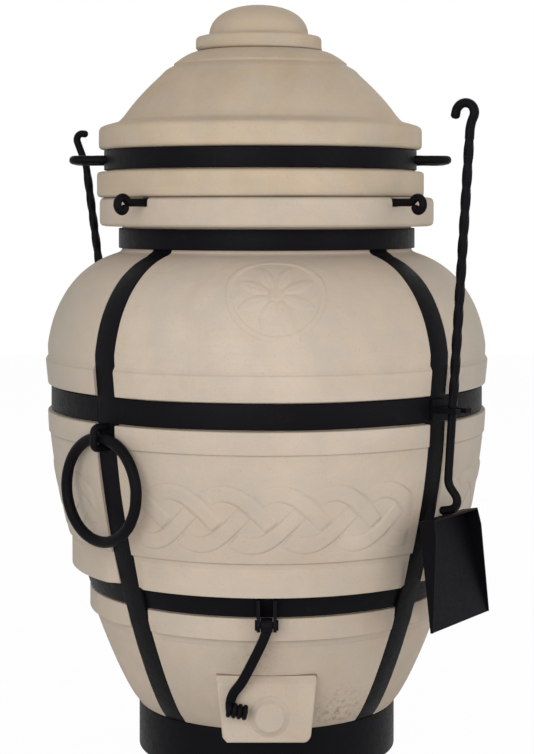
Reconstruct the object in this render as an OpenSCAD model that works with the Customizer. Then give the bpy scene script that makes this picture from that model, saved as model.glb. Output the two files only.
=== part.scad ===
// Clay tandoor oven: a pear-shaped clay pot in an iron cage, with a clay lid,
// an ash door with its latch, a fire grate, a hanging cross and two hearth tools.
// Frame: millimetres, +Z up, floor at Z = 0, pot axis at X = Y = 0, ash door towards -Y.
// A bearing is a compass-like angle round the pot: 0 is the front (-Y), +90 is +X.

/* [Clay pot] */
// Height of the pot's rim above the floor
rim_z = 690; // [684:1:700]
// Height of the round flange at the rim
rim_h = 36; // [30:1:40]
// Radius of the rim flange
rim_r = 212.5; // [209:0.5:216]
// Radius of the neck under the flange
neck_r = 184; // [178:1:188]
// Length of the neck under the flange
neck_h = 28; // [27:1:32]
// Radius of the mouth
mouth_r = 140; // [136:1:148]
// Radius of the pot at its widest
belly_r = 277.5; // [274:0.5:281]
// Height at which the pot is widest
belly_z = 506; // [500:1:512]
// Thickness of the clay wall
wall = 46; // [38:1:50]
// Height of the hearth floor under the grate
pit_floor_z = 45; // [38:1:52]
// Radius of the ash pit
pit_r = 124; // [116:1:126]
// Height of the ledge that carries the grate
ledge_z = 150; // [146:1:156]

/* [Clay belts] */
// How far the belt above the middle band stands out
high_belt = 3.6; // [3:0.2:5]
// Height of the belt above the middle band
high_belt_h = 30; // [24:1:34]
// How far the belt below the middle band stands out
mid_belt = 4.4; // [3:0.2:5]
// Height of the belt below the middle band
mid_belt_h = 16; // [12:1:20]
// Height of the plaited panel's plain upper border
panel_border_h = 20; // [14:1:24]
// Bottom edge of the plaited panel
panel_low_z = 278; // [274:1:282]
// How far the plaited panel stands out
panel_out = 3; // [2:0.2:3.6]
// Top edge of the belt above the lower band
low_belt_top_z = 262; // [256:1:266]
// How far the belt above the lower band stands out at its top edge
low_belt = 1.5995; // [0:0.2:3]
// How far the belt below the lower band stands out at its bottom edge
foot_belt = 5.7974; // [4:0.2:7]
// Bottom edge of the belt below the lower band
foot_belt_z = 177; // [172:1:182]

/* [Iron cage] */
// Thickness of the strip iron
iron_t = 4; // [3:0.5:5]
// Width of the four upright straps
strap_w = 33; // [28:1:36]
// Width of a strap's tongue under the neck band
tongue_w = 31; // [24:1:33]
// Turn of the cage from the diagonals, in degrees
cage_turn = 2; // [0:0.5:4]
// Height of the neck band's strip
neck_band_h = 25; // [22:1:26]
// Height of the middle band's strip
mid_band_h = 30; // [26:1:32]
// Height of the middle band's centre above the floor
mid_band_z = 441; // [438:1:444]
// Outer radius of the middle band
mid_band_r = 272.7; // [270:0.5:274]
// Height of the lower band's strip
low_band_h = 25; // [22:1:28]
// Height of the lower band's centre above the floor
low_band_z = 217.5; // [215:0.5:220]
// Height of the base ring
base_h = 57; // [50:1:60]
// Outer radius of the base ring
base_r = 162; // [158:1:166]
// Thickness of the base ring
base_t = 5; // [4:0.5:6]

/* [Carrying rings] */
// Outer diameter of a carrying ring
ring_d = 130; // [120:1:138]
// Diameter of the ring's bar
ring_bar_d = 12.5; // [10:0.5:13]
// Diameter of the staple that the ring hangs in
staple_d = 9; // [8:0.5:10]
// Height of the staple's lower leg below the middle band's centre
staple_drop = 43; // [40:1:46]
// Height between the centres of the staple's legs
staple_gap = 24; // [23.5:0.5:26]

/* [Lid] */
// How far the loose lid has been set down to one side
lid_shift = -8; // [-10:1:8]
// Radius of the lid's bottom flange
lid_r = 208; // [205:0.5:210]
// Height of the bottom flange
lid_flange_h = 32; // [28:1:33]
// Radius of the waist that the lid's band goes round
lid_waist_r = 194.6; // [190:0.2:197]
// Height of the lid band's strip
lid_band_h = 25; // [22:1:28]
// Radius of the lid's upper flange
lid_top_flange_r = 205.6; // [202:0.2:209]
// Height of the upper flange
lid_top_flange_h = 27; // [24:1:30]
// Height of the dome above the upper flange
dome_h = 98; // [92:1:104]
// Radius of the dome at its foot
dome_r = 179; // [174:1:184]
// Radius of the smoke hole
flue_r = 35; // [28:1:38]
// Radius of the opening inside the lid
lid_hollow_r = 150; // [144:1:156]
// Radius of the cap's flange
cap_r = 80.3; // [76:0.1:86]
// Height of the cap's flange
cap_flange_h = 18; // [15:1:20]
// Radius of the cap's round knob
cap_knob_r = 63.5; // [58:0.5:66]
// Height of the knob above the cap's flange
cap_knob_h = 41; // [36:1:46]
// Diameter of the lid handles' bar
lid_handle_d = 11; // [9:0.5:12]
// Reach of the lid handles beyond the band
lid_handle_reach = 42; // [36:1:50]
// Width between the legs of a lid handle
lid_handle_w = 84; // [70:1:96]

/* [Hanging cross] */
// Diameter of the cross's bars
cross_d = 10; // [8:0.5:10]
// Radius at which the arms start to curl
cross_arm_r = 234; // [230:1:240]
// Radius of the curls, at the bar's centre
curl_r = 7.5; // [7:0.5:9]
// Turn of the cross from the diagonals, in degrees
cross_turn = 1.5; // [-2:0.5:3]
// Width of the notches in the rim
notch_w = 11; // [10.5:0.5:13]
// Depth of the notches in the rim
notch_depth = 12; // [11:0.5:14]

/* [Ash door] */
// Width of the door plate at its top edge
door_w = 117; // [110:1:122]
// Width of the door plate at its bottom edge
door_low_w = 103; // [98:1:108]
// Height of the door plate's bottom edge
door_z = 58; // [57.5:0.5:60]
// Height of the door plate
door_h = 76; // [72:1:80]
// Distance of the door's face from the pot's axis
door_y = 205; // [203:0.5:207]
// Thickness of the door plate
door_t = 21; // [18:1:23]
// Width of the plug behind the plate
plug_w = 88; // [80:1:92]
// Height of the plug behind the plate
plug_h = 58; // [50:1:60]
// Radius of the round boss on the door's face
boss_r = 20; // [17:0.5:20.5]
// How far the boss stands out
boss_h = 7; // [5:0.5:8]
// Diameter of the latch's hinge pin
latch_pin_d = 8; // [7:0.5:9]
// Width of the latch's eye
latch_eye_w = 14; // [12:1:16]
// Width of the latch's bar
latch_w = 11; // [10:0.5:12]
// Thickness of the latch's bar
latch_t = 9; // [7:0.5:9]
// Radius of the latch's ribbed grip
grip_r = 10; // [9:0.5:10.5]

/* [Fire grate] */
// Radius of the fire grate
grate_r = 133; // [130:1:134]
// Thickness of the fire grate
grate_t = 9; // [7:1:9]
// Number of bars in the grate
grate_bars = 9; // [7:2:11]
// Width of the grate's bars
grate_bar_w = 15; // [12:1:16]

/* [Hearth tools] */
// Side of the twisted square bar
tool_bar = 10; // [9:0.5:10.5]
// Length of one full turn of the twist
twist_pitch = 110; // [90:1:130]
// Length of the scoop's twisted shaft
scoop_shaft = 316; // [300:1:325]
// Length of the poker's twisted shaft
poker_shaft = 286; // [270:1:300]
// Distance of the scoop's neck beyond the belly
scoop_reach = 17.5; // [15:0.5:20]
// Distance of the poker's neck beyond the belly
poker_reach = 12.2; // [11:0.2:14]
// Lean of the scoop's bar, in degrees
scoop_lean = 4; // [2:0.5:5]
// Lean of the poker's shaft, in degrees
poker_lean = 8.5; // [6:0.5:11]
// Bearing of the scoop's holder
scoop_bearing = 47.2; // [45:0.2:49]
// Bearing that the scoop's pan faces
scoop_facing = 56; // [50:1:60]
// Bearing of the poker's holder
poker_bearing = -133; // [-136:1:-130]
// Bearing that the poker leans towards
poker_facing = -113; // [-120:1:-110]
// Width of the scoop's pan at its lip
pan_w = 140; // [130:1:146]
// Width of the scoop's pan at its back wall
pan_back_w = 106; // [98:1:114]
// Lean of the scoop's pan, in degrees
pan_lean = 11; // [8:0.5:13]
// Length of the scoop's pan
pan_len = 124; // [116:1:130]
// Depth of the scoop's pan at its back wall
pan_depth = 20; // [16:1:22]

/* [Hidden] */
$fn = 96;

clay = [0.79, 0.73, 0.65];
lid_clay = [0.74, 0.67, 0.57];
iron = [0.12, 0.11, 0.13];

widest_r = max(belly_r, mid_band_r);
outer_r = widest_r + 20;
seat = 0.3;            // gap between pieces that lie against each other
rod_sides = 24;        // sides drawn on a small round bar
straps = [-45, 45, 135, -135];

// ---- small helpers ----

// Turns its children so that +X points outwards at a bearing
module outwards(bearing) rotate([0, 0, bearing - 90]) children();

function bezier(p, t) = let (u = 1 - t)
    u * u * u * p[0] + 3 * u * u * t * p[1] + 3 * u * t * t * p[2] + t * t * t * p[3];
function bezier_points(p, n) = [for (i = [0 : n]) bezier(p, i / n)];
function reversed(list) = [for (i = [len(list) - 1 : -1 : 0]) list[i]];
function unit(v) = v / norm(v);
function tangent(line, i) =
    unit(line[min(i + 1, len(line) - 1)] - line[max(i - 1, 0)]);
// The line moved sideways by d, to the right of its direction
function beside(line, d) =
    [for (i = [0 : len(line) - 1]) let (t = tangent(line, i)) line[i] + d * [t[1], -t[0]]];
// A closed outline of constant or tapering width along a line
function ribbon(line, a, b) = concat(beside(line, a), reversed(beside(line, b)));
// Part of a line between two heights
function between(line, low, high) = [for (p = line) if (p[1] > low && p[1] < high) p];
function arc_points(centre, r, from, to, n) =
    [for (i = [0 : n]) let (a = from + (to - from) * i / n) centre + r * [cos(a), sin(a)]];

// A round bar that follows runs and bends in the XZ plane, from the origin along +X.
// A run is ["run", length]; a bend is ["bend", radius, angle], positive towards +Z.
module bent_bar(r, steps, i = 0) {
    if (i < len(steps)) {
        step = steps[i];
        // a slight swelling where one length is forged onto the next
        if (i > 0) sphere(r = 1.04 * r, $fn = rod_sides);
        if (step[0] == "run") {
            rotate([0, 90, 0]) cylinder(r = r, h = step[1], $fn = rod_sides);
            translate([step[1], 0, 0]) bent_bar(r, steps, i + 1);
        } else {
            side = sign(step[2]);
            start = side > 0 ? -90 : 90 + step[2];
            translate([0, 0, side * step[1]]) {
                rotate([90, 0, 0]) rotate([0, 0, start])
                    rotate_extrude(angle = abs(step[2]), $fn = 48)
                        translate([step[1], 0]) circle(r = r, $fn = rod_sides);
                rotate([0, -step[2], 0]) translate([0, 0, -side * step[1]])
                    bent_bar(r, steps, i + 1);
            }
        }
    } else {
        sphere(r = 1.04 * r, $fn = rod_sides);
    }
}

// A square bar twisted about its own length, standing on the origin
module twisted_bar(side, length) {
    linear_extrude(height = length, twist = 360 * length / twist_pitch,
                   slices = ceil(length / 7), $fn = 4) intersection() {
        square(side, center = true);
        rotate(45) square(1.16 * side, center = true);
    }
}

// ---- shape of the pot ----

// The skin is the clay's plain face; the cage's outer faces lie flush with it.
base_top = base_h + seat;
shoulder_top_z = rim_z - rim_h - neck_h;
lower_skin = bezier_points([[base_r, base_top], [base_r + 29, base_top + 27],
    [mid_band_r + 3.3, mid_band_z - 134], [mid_band_r, mid_band_z]], 36);
belly_skin = bezier_points([[mid_band_r, mid_band_z], [mid_band_r, mid_band_z + 22],
    [belly_r, belly_z - 22], [belly_r, belly_z]], 8);
shoulder_skin = bezier_points([[belly_r, belly_z], [belly_r - 4.5, belly_z + 36],
    [neck_r + 70, shoulder_top_z - 22], [neck_r, shoulder_top_z - 4]], 20);
skin = concat(lower_skin, [for (i = [1 : 8]) belly_skin[i]],
    [for (i = [1 : 20]) shoulder_skin[i]]);
body_skin = concat(lower_skin, [for (i = [1 : 8]) belly_skin[i]]);
skin_table = [for (p = body_skin) [p[1], p[0]]];
function skin_r(z) = lookup(z, skin_table);

// Belts and grooves, bottom to top: lower edge, upper edge, how far it stands out,
// and the radius where it is a cylinder
mid_groove = mid_band_h / 2 + 1.5;
low_groove = low_band_h / 2 + 1.5;
belts = [
    [base_top, foot_belt_z, 0],
    [foot_belt_z, low_band_z - low_groove, 0, skin_r(foot_belt_z) + foot_belt],
    [low_band_z - low_groove, low_band_z + low_groove, -2 * (iron_t + seat) - 0.5],
    [low_band_z + low_groove, low_belt_top_z, 0, skin_r(low_belt_top_z) + low_belt],
    [low_belt_top_z, panel_low_z, 1],
    [panel_low_z, mid_band_z - mid_groove - mid_belt_h - panel_border_h, panel_out],
    [mid_band_z - mid_groove - mid_belt_h - panel_border_h,
        mid_band_z - mid_groove - mid_belt_h, 2],
    [mid_band_z - mid_groove - mid_belt_h, mid_band_z - mid_groove, mid_belt],
    [mid_band_z - mid_groove, mid_band_z + mid_groove, 0, mid_band_r - iron_t - seat],
    [mid_band_z + mid_groove, mid_band_z + mid_groove + high_belt_h, high_belt]];
belt_bevel = 1;
belt_step = 14;
function belt_points(belt) =
    let (a = belt[0] + belt_bevel, b = belt[1] - belt_bevel, n = ceil((b - a) / belt_step))
    [for (i = [0 : n]) let (z = a + (b - a) * i / n)
        [is_undef(belt[3]) ? skin_r(z) + belt[2] : belt[3], z]];
top_belt_z = belts[len(belts) - 1][1];

rim_round = 6;
rim_outline = concat(
    arc_points([rim_r - rim_round, rim_z - rim_h + rim_round], rim_round, -90, 0, 4),
    arc_points([rim_r - rim_round, rim_z - rim_round], rim_round, 0, 90, 4),
    arc_points([mouth_r + rim_round, rim_z - rim_round], rim_round, 90, 180, 4));

// Inside of the pot, from the mouth down to the middle of the pit's floor
chamber_top_z = shoulder_top_z - 14;
chamber_shoulder = bezier_points([[mouth_r, chamber_top_z], [mouth_r + 45, chamber_top_z - 26],
    [belly_r - wall - 2.5, belly_z + 42], [belly_r - wall, belly_z]], 14);
hearth_top_z = ledge_z + 50;
chamber_wall = [for (z = [belly_z - 18 : -18 : hearth_top_z + 9]) [skin_r(z) - wall, z]];
ledge_recess = 1.5;
pit_round = 14;
hearth = concat(
    [[skin_r(hearth_top_z) - wall, hearth_top_z],
     [grate_r + ledge_recess, ledge_z + grate_t + 2], [grate_r + ledge_recess, ledge_z],
     [pit_r, ledge_z]],
    arc_points([pit_r - 12 - pit_round, pit_floor_z + pit_round], pit_round, 0, -90, 4),
    [[0, pit_floor_z]]);

foot_r = base_r - base_t - seat;
pot_outline = concat([[0, 0], [foot_r, 0], [foot_r, base_top]],
    [for (belt = belts) each belt_points(belt)],
    between(skin, top_belt_z + belt_bevel, shoulder_top_z),
    [[neck_r, rim_z - rim_h]], rim_outline, chamber_shoulder, chamber_wall, hearth);

// Everything inside the skin, moved out by d
module skin_solid(d) {
    rotate_extrude() polygon(concat([[0, base_top]], beside(skin, d),
        [[0, shoulder_top_z - 4]]));
}

// The path of the straps' outer face: the skin, and up the neck to the band's top
neck_band_z = shoulder_top_z + neck_h / 2 - 1;
strap_line = concat(skin, [[neck_r, neck_band_z + neck_band_h / 2 - 1]]);

// Upright slab that holds one strap, with its tongue at the neck
module strap_slab(gap) {
    tongue_z = shoulder_top_z - 16;
    outwards(0) {
        translate([0, -strap_w / 2 - gap, base_top - gap])
            cube([outer_r, strap_w + 2 * gap, tongue_z - base_top + gap]);
        translate([0, -tongue_w / 2 - gap, tongue_z - 1])
            cube([outer_r, tongue_w + 2 * gap,
                neck_band_z + neck_band_h / 2 - tongue_z]);
    }
}

module strap_at(bearing) {
    color(iron) rotate([0, 0, bearing + cage_turn]) intersection() {
        rotate_extrude() polygon(ribbon(strap_line, 0, -iron_t));
        strap_slab(0);
    }
}

// Channel for one strap, cut down to just under its inner face
module strap_channel(bearing) {
    rotate([0, 0, bearing + cage_turn]) intersection() {
        rotate_extrude() polygon(ribbon(strap_line, 12, -iron_t - seat));
        strap_slab(0.5);
    }
}

// ---- clay pot ----

notch_z = rim_z - notch_depth;
cross_z = notch_z + cross_d / 2 + seat;

plug_z = door_z + 8;
door_gap = 0.5;
plug_in_y = 120;

// Outline of the door plate, seen from the front, grown by d
module plate_face(d) {
    top = door_z + door_h + d;
    polygon([[-door_low_w / 2 - d + 5, door_z - d], [door_low_w / 2 + d - 5, door_z - d],
        [door_low_w / 2 + d, door_z - d + 6], [door_w / 2 + d, top],
        [-door_w / 2 - d, top], [-door_low_w / 2 - d, door_z - d + 6]]);
}

// Straight prism along Y, from y = -far to y = -near, over an outline in X and Z
module front_prism(near, far) {
    translate([0, -near, 0]) rotate([90, 0, 0]) linear_extrude(far - near) children();
}

plug_round = 8;
module plug_face(d) {
    w = plug_w / 2 + d;
    low = plug_z - d;
    high = plug_z + plug_h + d;
    r = plug_round + d;
    polygon(concat(arc_points([w - r, high - r], r, 0, 90, 4),
        arc_points([-w + r, high - r], r, 90, 180, 4),
        arc_points([-w + r, low + r], r, 180, 270, 4),
        arc_points([w - r, low + r], r, 270, 360, 4)));
}

module clay_pot() {
    color(clay) difference() {
        rotate_extrude() polygon(pot_outline);
        for (bearing = straps) strap_channel(bearing);
        for (turn = [45, -45]) rotate([0, 0, turn + cross_turn])
            translate([-rim_r - 5, -notch_w / 2, notch_z])
                cube([2 * rim_r + 10, notch_w, notch_depth + 1]);
        front_prism(plug_in_y - 60, door_y + 10) plug_face(seat);
        front_prism(door_y - door_t - door_gap, door_y + 30) plate_face(door_gap);
    }
}

// ---- iron cage ----

module cage_arcs() {
    difference() {
        children();
        for (turn = [45, -45]) rotate([0, 0, turn + cage_turn])
            translate([-outer_r, -strap_w / 2 - seat, 0])
                cube([2 * outer_r, strap_w + 2 * seat, rim_z]);
    }
}

module base_ring() {
    color(iron) rotate_extrude()
        translate([base_r - base_t, 0]) square([base_t, base_h]);
}

// The lower band is one ring; the straps lap over it.
module lower_band() {
    color(iron) rotate_extrude() intersection() {
        polygon(ribbon(lower_skin, -iron_t - seat, -2 * iron_t - seat));
        translate([0, low_band_z - low_band_h / 2]) square([belly_r, low_band_h]);
    }
}

module middle_band() {
    color(iron) cage_arcs() rotate_extrude()
        translate([mid_band_r - iron_t, mid_band_z - mid_band_h / 2])
            square([iron_t, mid_band_h]);
}

module neck_band() {
    color(iron) rotate_extrude()
        translate([neck_r + seat, neck_band_z - neck_band_h / 2])
            square([iron_t, neck_band_h]);
}

// ---- carrying rings ----

staple_z = mid_band_z - staple_drop;
ring_bar_r = ring_bar_d / 2;
ring_hang_z = staple_z + staple_d / 2 + ring_bar_r + seat;
ring_plane_r = skin_r(staple_z) + ring_bar_r + 5;
staple_reach = ring_plane_r + ring_bar_r + staple_d / 2 + seat;
staple_bend = 6;

module staple_at(bearing) {
    start = skin_r(staple_z) - 10;
    color(iron) difference() {
        outwards(bearing + cage_turn) translate([start, 0, staple_z])
            bent_bar(staple_d / 2, [
                ["run", staple_reach - staple_bend - start], ["bend", staple_bend, 90],
                ["run", staple_gap - 2 * staple_bend], ["bend", staple_bend, 90],
                ["run", staple_reach - staple_bend - start]]);
        skin_solid(seat);
    }
}

module ring_at(bearing) {
    path_r = ring_d / 2 - ring_bar_r;
    color(iron) outwards(bearing + cage_turn)
        translate([ring_plane_r, 0, ring_hang_z - path_r]) rotate([0, 90, 0])
            rotate_extrude() translate([path_r, 0]) circle(r = ring_bar_r, $fn = rod_sides);
}

// ---- tool holders ----

holder_t = 6;
holder_w = 30;
neck_bar_r = tool_bar / 2;
holder_z = mid_band_z + holder_t / 2;
scoop_r = widest_r + scoop_reach;
poker_r = widest_r + poker_reach;
slot_r = neck_bar_r + seat;

module holder_at(bearing, tool_r) {
    color(iron) difference() {
        outwards(bearing) difference() {
            union() {
                translate([mid_band_r - 6, -holder_w / 2, holder_z - holder_t])
                    cube([tool_r - mid_band_r + 22, holder_w, holder_t]);
                translate([mid_band_r - 6, -holder_w / 2, mid_band_z - 12])
                    cube([11, holder_w, 24]);
            }
            translate([tool_r, 0, holder_z - holder_t - 1])
                cylinder(r = slot_r, h = holder_t + 2, $fn = 32);
            translate([tool_r, -slot_r, holder_z - holder_t - 1])
                cube([40, 2 * slot_r, holder_t + 2]);
        }
        skin_solid(seat);
    }
}

// ---- scoop ----

// Height of a tool's square shoulder over its holder, for the lean of its shaft
function shoulder_z(lean) = holder_z + seat + tool_bar / 2 * sin(lean);
scoop_shoulder_z = shoulder_z(scoop_lean);
hook_bar_r = neck_bar_r + 0.5;
pan_t = 2;
kink_start_z = 362;
kink_out = 38;
kink_back = kink_out + 90 - pan_lean;
kink_steps = [["bend", 18, kink_out + scoop_lean], ["run", 9], ["bend", 11, -kink_back],
    ["run", 11]];
// End of the kink, as distance outwards and distance down from its start
kink_end = [18 * (cos(scoop_lean) - cos(kink_out)) + 9 * sin(kink_out)
        + 11 * (cos(kink_back - kink_out) - cos(kink_out)) - 11 * cos(pan_lean),
    18 * (sin(kink_out) + sin(scoop_lean)) + 9 * cos(kink_out)
        + 11 * (sin(kink_out) + sin(kink_back - kink_out)) + 11 * sin(pan_lean)];
// The leaning neck's axis passes the middle of the holder's slot.
neck_top_u = (scoop_shoulder_z - holder_z + holder_t / 2) * tan(scoop_lean);
neck_len = (scoop_shoulder_z - kink_start_z) / cos(scoop_lean);
kink_start_u = neck_top_u - neck_len * sin(scoop_lean);
pan_back_u = kink_start_u + kink_end[0] + (neck_bar_r + seat) * sin(pan_lean) - 2 * cos(pan_lean);
pan_top_z = kink_start_z - kink_end[1] - (neck_bar_r + seat) * cos(pan_lean)
    - 2 * sin(pan_lean);

module scoop_frame() {
    outwards(scoop_bearing) translate([scoop_r, 0, 0])
        rotate([0, 0, scoop_facing - scoop_bearing]) children();
}

module scoop_handle() {
    color(iron) scoop_frame() translate([neck_top_u, 0, scoop_shoulder_z])
        rotate([0, scoop_lean, 0]) {
            // neck and kink, drawn downwards from the shoulder
            rotate([0, 90, 0]) bent_bar(neck_bar_r, concat([["run", neck_len]], kink_steps));
            sphere(r = 1.04 * neck_bar_r, $fn = rod_sides);
            twisted_bar(tool_bar, scoop_shaft);
            translate([0, 0, scoop_shaft]) sphere(r = 1.04 * hook_bar_r, $fn = rod_sides);
            translate([0, 0, scoop_shaft]) rotate([0, -90, 0])
                bent_bar(hook_bar_r, [["run", 6], ["bend", 40, -24],
                    ["bend", 11.5, 102], ["bend", 11.5, 102], ["run", 2]]);
        }
}

// Pan seen from its side: floor, back wall and the slope of the side walls
module pan_wedge(inset) {
    rotate([90, 0, 0]) linear_extrude(pan_w + 20, center = true)
        polygon([[inset, -inset], [pan_depth + (inset > 0 ? 10 : 0), -inset],
            [pan_depth + (inset > 0 ? 10 : 0), -20],
            [3 + (inset > 0 ? 10 : 0), -pan_len - (inset > 0 ? 1 : 0)],
            [inset, -pan_len - (inset > 0 ? 1 : 0)]]);
}

module pan_outline(inset) {
    w = pan_w / 2 - inset;
    back = pan_back_w / 2 - inset;
    rotate([0, 90, 0]) translate([0, 0, -5]) linear_extrude(pan_depth + 20)
        polygon([[-1, -back], [pan_len + 2, -w], [pan_len + 2, w], [-1, back]]);
}

module scoop_pan() {
    color(iron) scoop_frame() translate([pan_back_u, 0, pan_top_z]) rotate([0, -pan_lean, 0])
        difference() {
            intersection() { pan_wedge(0); pan_outline(0); }
            intersection() { pan_wedge(pan_t); pan_outline(pan_t); }
        }
}

// ---- poker ----

poker_shoulder_z = shoulder_z(poker_lean);
poker_low = 190;

module poker() {
    color(iron) outwards(poker_bearing) translate([poker_r, 0, 0])
        rotate([0, 0, poker_facing - poker_bearing]) {
            translate([0, 0, poker_shoulder_z]) rotate([0, 90, 0])
                bent_bar(neck_bar_r, [["run", poker_low], ["bend", 12, 90], ["run", 20]]);
            translate([0, 0, poker_shoulder_z]) rotate([0, poker_lean, 0]) {
                sphere(r = 1.04 * neck_bar_r, $fn = rod_sides);
                twisted_bar(tool_bar, poker_shaft);
                translate([0, 0, poker_shaft]) sphere(r = 1.04 * neck_bar_r, $fn = rod_sides);
                translate([0, 0, poker_shaft]) rotate([0, -90, 0])
                    bent_bar(neck_bar_r, [["run", 4], ["bend", 30, -14], ["run", 33],
                        ["bend", 8, 118], ["run", 5]]);
            }
        }
}

// ---- fire grate ----

module fire_grate() {
    rim = 12;
    spacing = 2 * (grate_r - rim) / grate_bars;
    color(iron) translate([0, 0, ledge_z + seat]) {
        difference() {
            cylinder(r = grate_r, h = grate_t);
            translate([0, 0, -1]) cylinder(r = grate_r - rim, h = grate_t + 2);
        }
        intersection() {
            cylinder(r = grate_r - 1, h = grate_t);
            for (i = [0 : grate_bars - 1])
                translate([(i + 0.5) * spacing - grate_r + rim - grate_bar_w / 2,
                    -grate_r, 0])
                    cube([grate_bar_w, 2 * grate_r, grate_t]);
        }
    }
}

// ---- hanging cross ----

module cross_bar(r) {
    rotate([0, 90, 0]) cylinder(r = r, h = 2 * cross_arm_r, center = true, $fn = rod_sides);
    for (turn = [0, 180]) rotate([0, 0, turn]) translate([cross_arm_r, 0, 0])
        bent_bar(r, [["bend", curl_r + 0.5, 50], ["bend", curl_r, -250]]);
}

module hanging_cross() {
    color(iron) translate([0, 0, cross_z]) {
        rotate([0, 0, 45 + cross_turn]) cross_bar(cross_d / 2);
        rotate([0, 0, -45 + cross_turn]) cross_bar(cross_d / 2 - 0.2);
    }
}

// ---- lid ----

lid_waist_z = rim_z + lid_flange_h + 2;
lid_waist_top = lid_waist_z + lid_band_h + 1;
lid_shoulder_z = lid_waist_top + 1 + lid_top_flange_h;
dome_base_z = lid_shoulder_z + 9;
lid_top_z = dome_base_z + dome_h - 9;
dome_ledge_r = 110;
dome_ledge_z = lid_top_z - 17;
dome_bulge = 4;
function bulged(a, b, sag, n) = let (side = unit([b[1] - a[1], a[0] - b[0]]))
    [for (i = [0 : n]) let (t = i / n) a + t * (b - a) + 4 * t * (1 - t) * sag * side];
lid_outline = concat(
    [[lid_hollow_r, rim_z]],
    arc_points([lid_r - 5, rim_z + 5], 5, -90, 0, 3),
    arc_points([lid_r - 7, rim_z + lid_flange_h - 7], 7, 0, 70, 4),
    [[lid_waist_r, lid_waist_z - 0.5], [lid_waist_r, lid_waist_top]],
    arc_points([lid_top_flange_r - 5, lid_waist_top + 6], 5, -90, 0, 3),
    arc_points([lid_top_flange_r - 5, lid_shoulder_z - 6], 5, 0, 70, 3),
    [[dome_r + 16, lid_shoulder_z + 3]],
    bulged([dome_r, dome_base_z - 1], [dome_ledge_r, dome_ledge_z], dome_bulge, 10),
    [[dome_ledge_r - 4, dome_ledge_z + 1]],
    bulged([dome_ledge_r - 4, dome_ledge_z + 2], [cap_r + 1, lid_top_z - 1], 1.5, 4),
    [[cap_r - 2, lid_top_z], [flue_r, lid_top_z], [flue_r, lid_top_z - 34]],
    reversed(bulged([lid_hollow_r, lid_waist_z], [flue_r + 14, lid_top_z - 38], 14, 8)));

module on_lid() translate([lid_shift, 0, 0]) children();

module lid_shell() {
    color(lid_clay) on_lid() rotate_extrude() polygon(lid_outline);
}

lid_band_r = lid_waist_r + seat + iron_t;
lid_band_z = lid_waist_z + 0.5 + lid_band_h / 2;
module lid_band() {
    color(iron) on_lid() rotate_extrude()
        translate([lid_waist_r + seat, lid_band_z - lid_band_h / 2])
            square([iron_t, lid_band_h]);
}

module lid_handle(side) {
    bend = 14;
    reach = lid_band_r + lid_handle_reach - lid_handle_d / 2;
    color(iron) on_lid() difference() {
        rotate([0, 0, side > 0 ? 0 : 180]) translate([lid_band_r - 16, -lid_handle_w / 2,
            lid_band_z]) rotate([-90, 0, 0])
            bent_bar(lid_handle_d / 2, [["run", reach - bend - lid_band_r + 16],
                ["bend", bend, 90], ["run", lid_handle_w - 2 * bend],
                ["bend", bend, 90], ["run", reach - bend - lid_band_r + 16]]);
        translate([0, 0, rim_z]) cylinder(r = lid_band_r + seat, h = 100);
    }
}

cap_z = lid_top_z + seat;
spigot_h = 9;
cap_outline = concat(
    [[0, cap_z - spigot_h], [flue_r - 2.5, cap_z - spigot_h], [flue_r - 0.7, cap_z - spigot_h + 3],
     [flue_r - 0.7, cap_z]],
    arc_points([cap_r - 4, cap_z + 4], 4, -90, 0, 3),
    arc_points([cap_r - 5, cap_z + cap_flange_h - 5], 5, 0, 80, 3),
    [[cap_knob_r + 4, cap_z + cap_flange_h + 1]],
    bezier_points([[cap_knob_r, cap_z + cap_flange_h + 4],
        [cap_knob_r - 2, cap_z + cap_flange_h + cap_knob_h * 0.7],
        [cap_knob_r * 0.55, cap_z + cap_flange_h + cap_knob_h],
        [0, cap_z + cap_flange_h + cap_knob_h]], 12));

module lid_cap() {
    color(lid_clay) on_lid() rotate_extrude() polygon(cap_outline);
}

// ---- ash door and latch ----

module ash_door() {
    chamfer = 12;
    face_top = door_z + door_h;
    color(clay) {
        intersection() {
            front_prism(door_y - door_t, door_y) plate_face(0);
            rotate([90, 0, 90]) linear_extrude(door_w + 20, center = true)
                polygon([[-door_y, door_z - 1], [-door_y, face_top - chamfer],
                    [-door_y + 8, face_top + 1], [-door_y + door_t + 1, face_top + 1],
                    [-door_y + door_t + 1, door_z - 1]]);
        }
        front_prism(plug_in_y, door_y - door_t) plug_face(0);
        translate([0, -door_y, boss_z]) rotate([90, 0, 0]) rotate_extrude($fn = 64)
            polygon(concat([[0, 0], [boss_r, 0]],
                bezier_points([[boss_r - 1, 3], [boss_r - 3, boss_h], [boss_r * 0.5, boss_h],
                    [0, boss_h]], 6)));
    }
}

boss_z = door_z + 29;
eye_r = latch_pin_d / 2 + 4.5;
pin_z = low_band_z - low_band_h / 2 - 6;
pin_y = skin_r(low_band_z - low_band_h / 2) + eye_r + 0.5;
grip_len = 27;
grip_y = door_y + grip_r + seat;
grip_z = door_z + 34;
bar_y = door_y + seat + latch_t / 2;
ear_gap = 0.5;
ear_t = 4;

// Centre line of the latch's bar, seen from the side (Y, Z) and from the front (X, Z)
latch_side_line = [[-pin_y, pin_z], [-pin_y + 1, pin_z - 20], [-pin_y + 8, pin_z - 42],
    [-bar_y - 8, door_z + door_h - 4], [-bar_y - 2, door_z + 52], [-bar_y, grip_z + 6],
    [-bar_y, grip_z - 4]];
latch_front_line = [[1, pin_z], [-5, pin_z - 20], [-15, pin_z - 46], [-27, pin_z - 70],
    [-37, grip_z + 24], [-42, grip_z + 10], [-42, grip_z - 4]];

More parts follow.
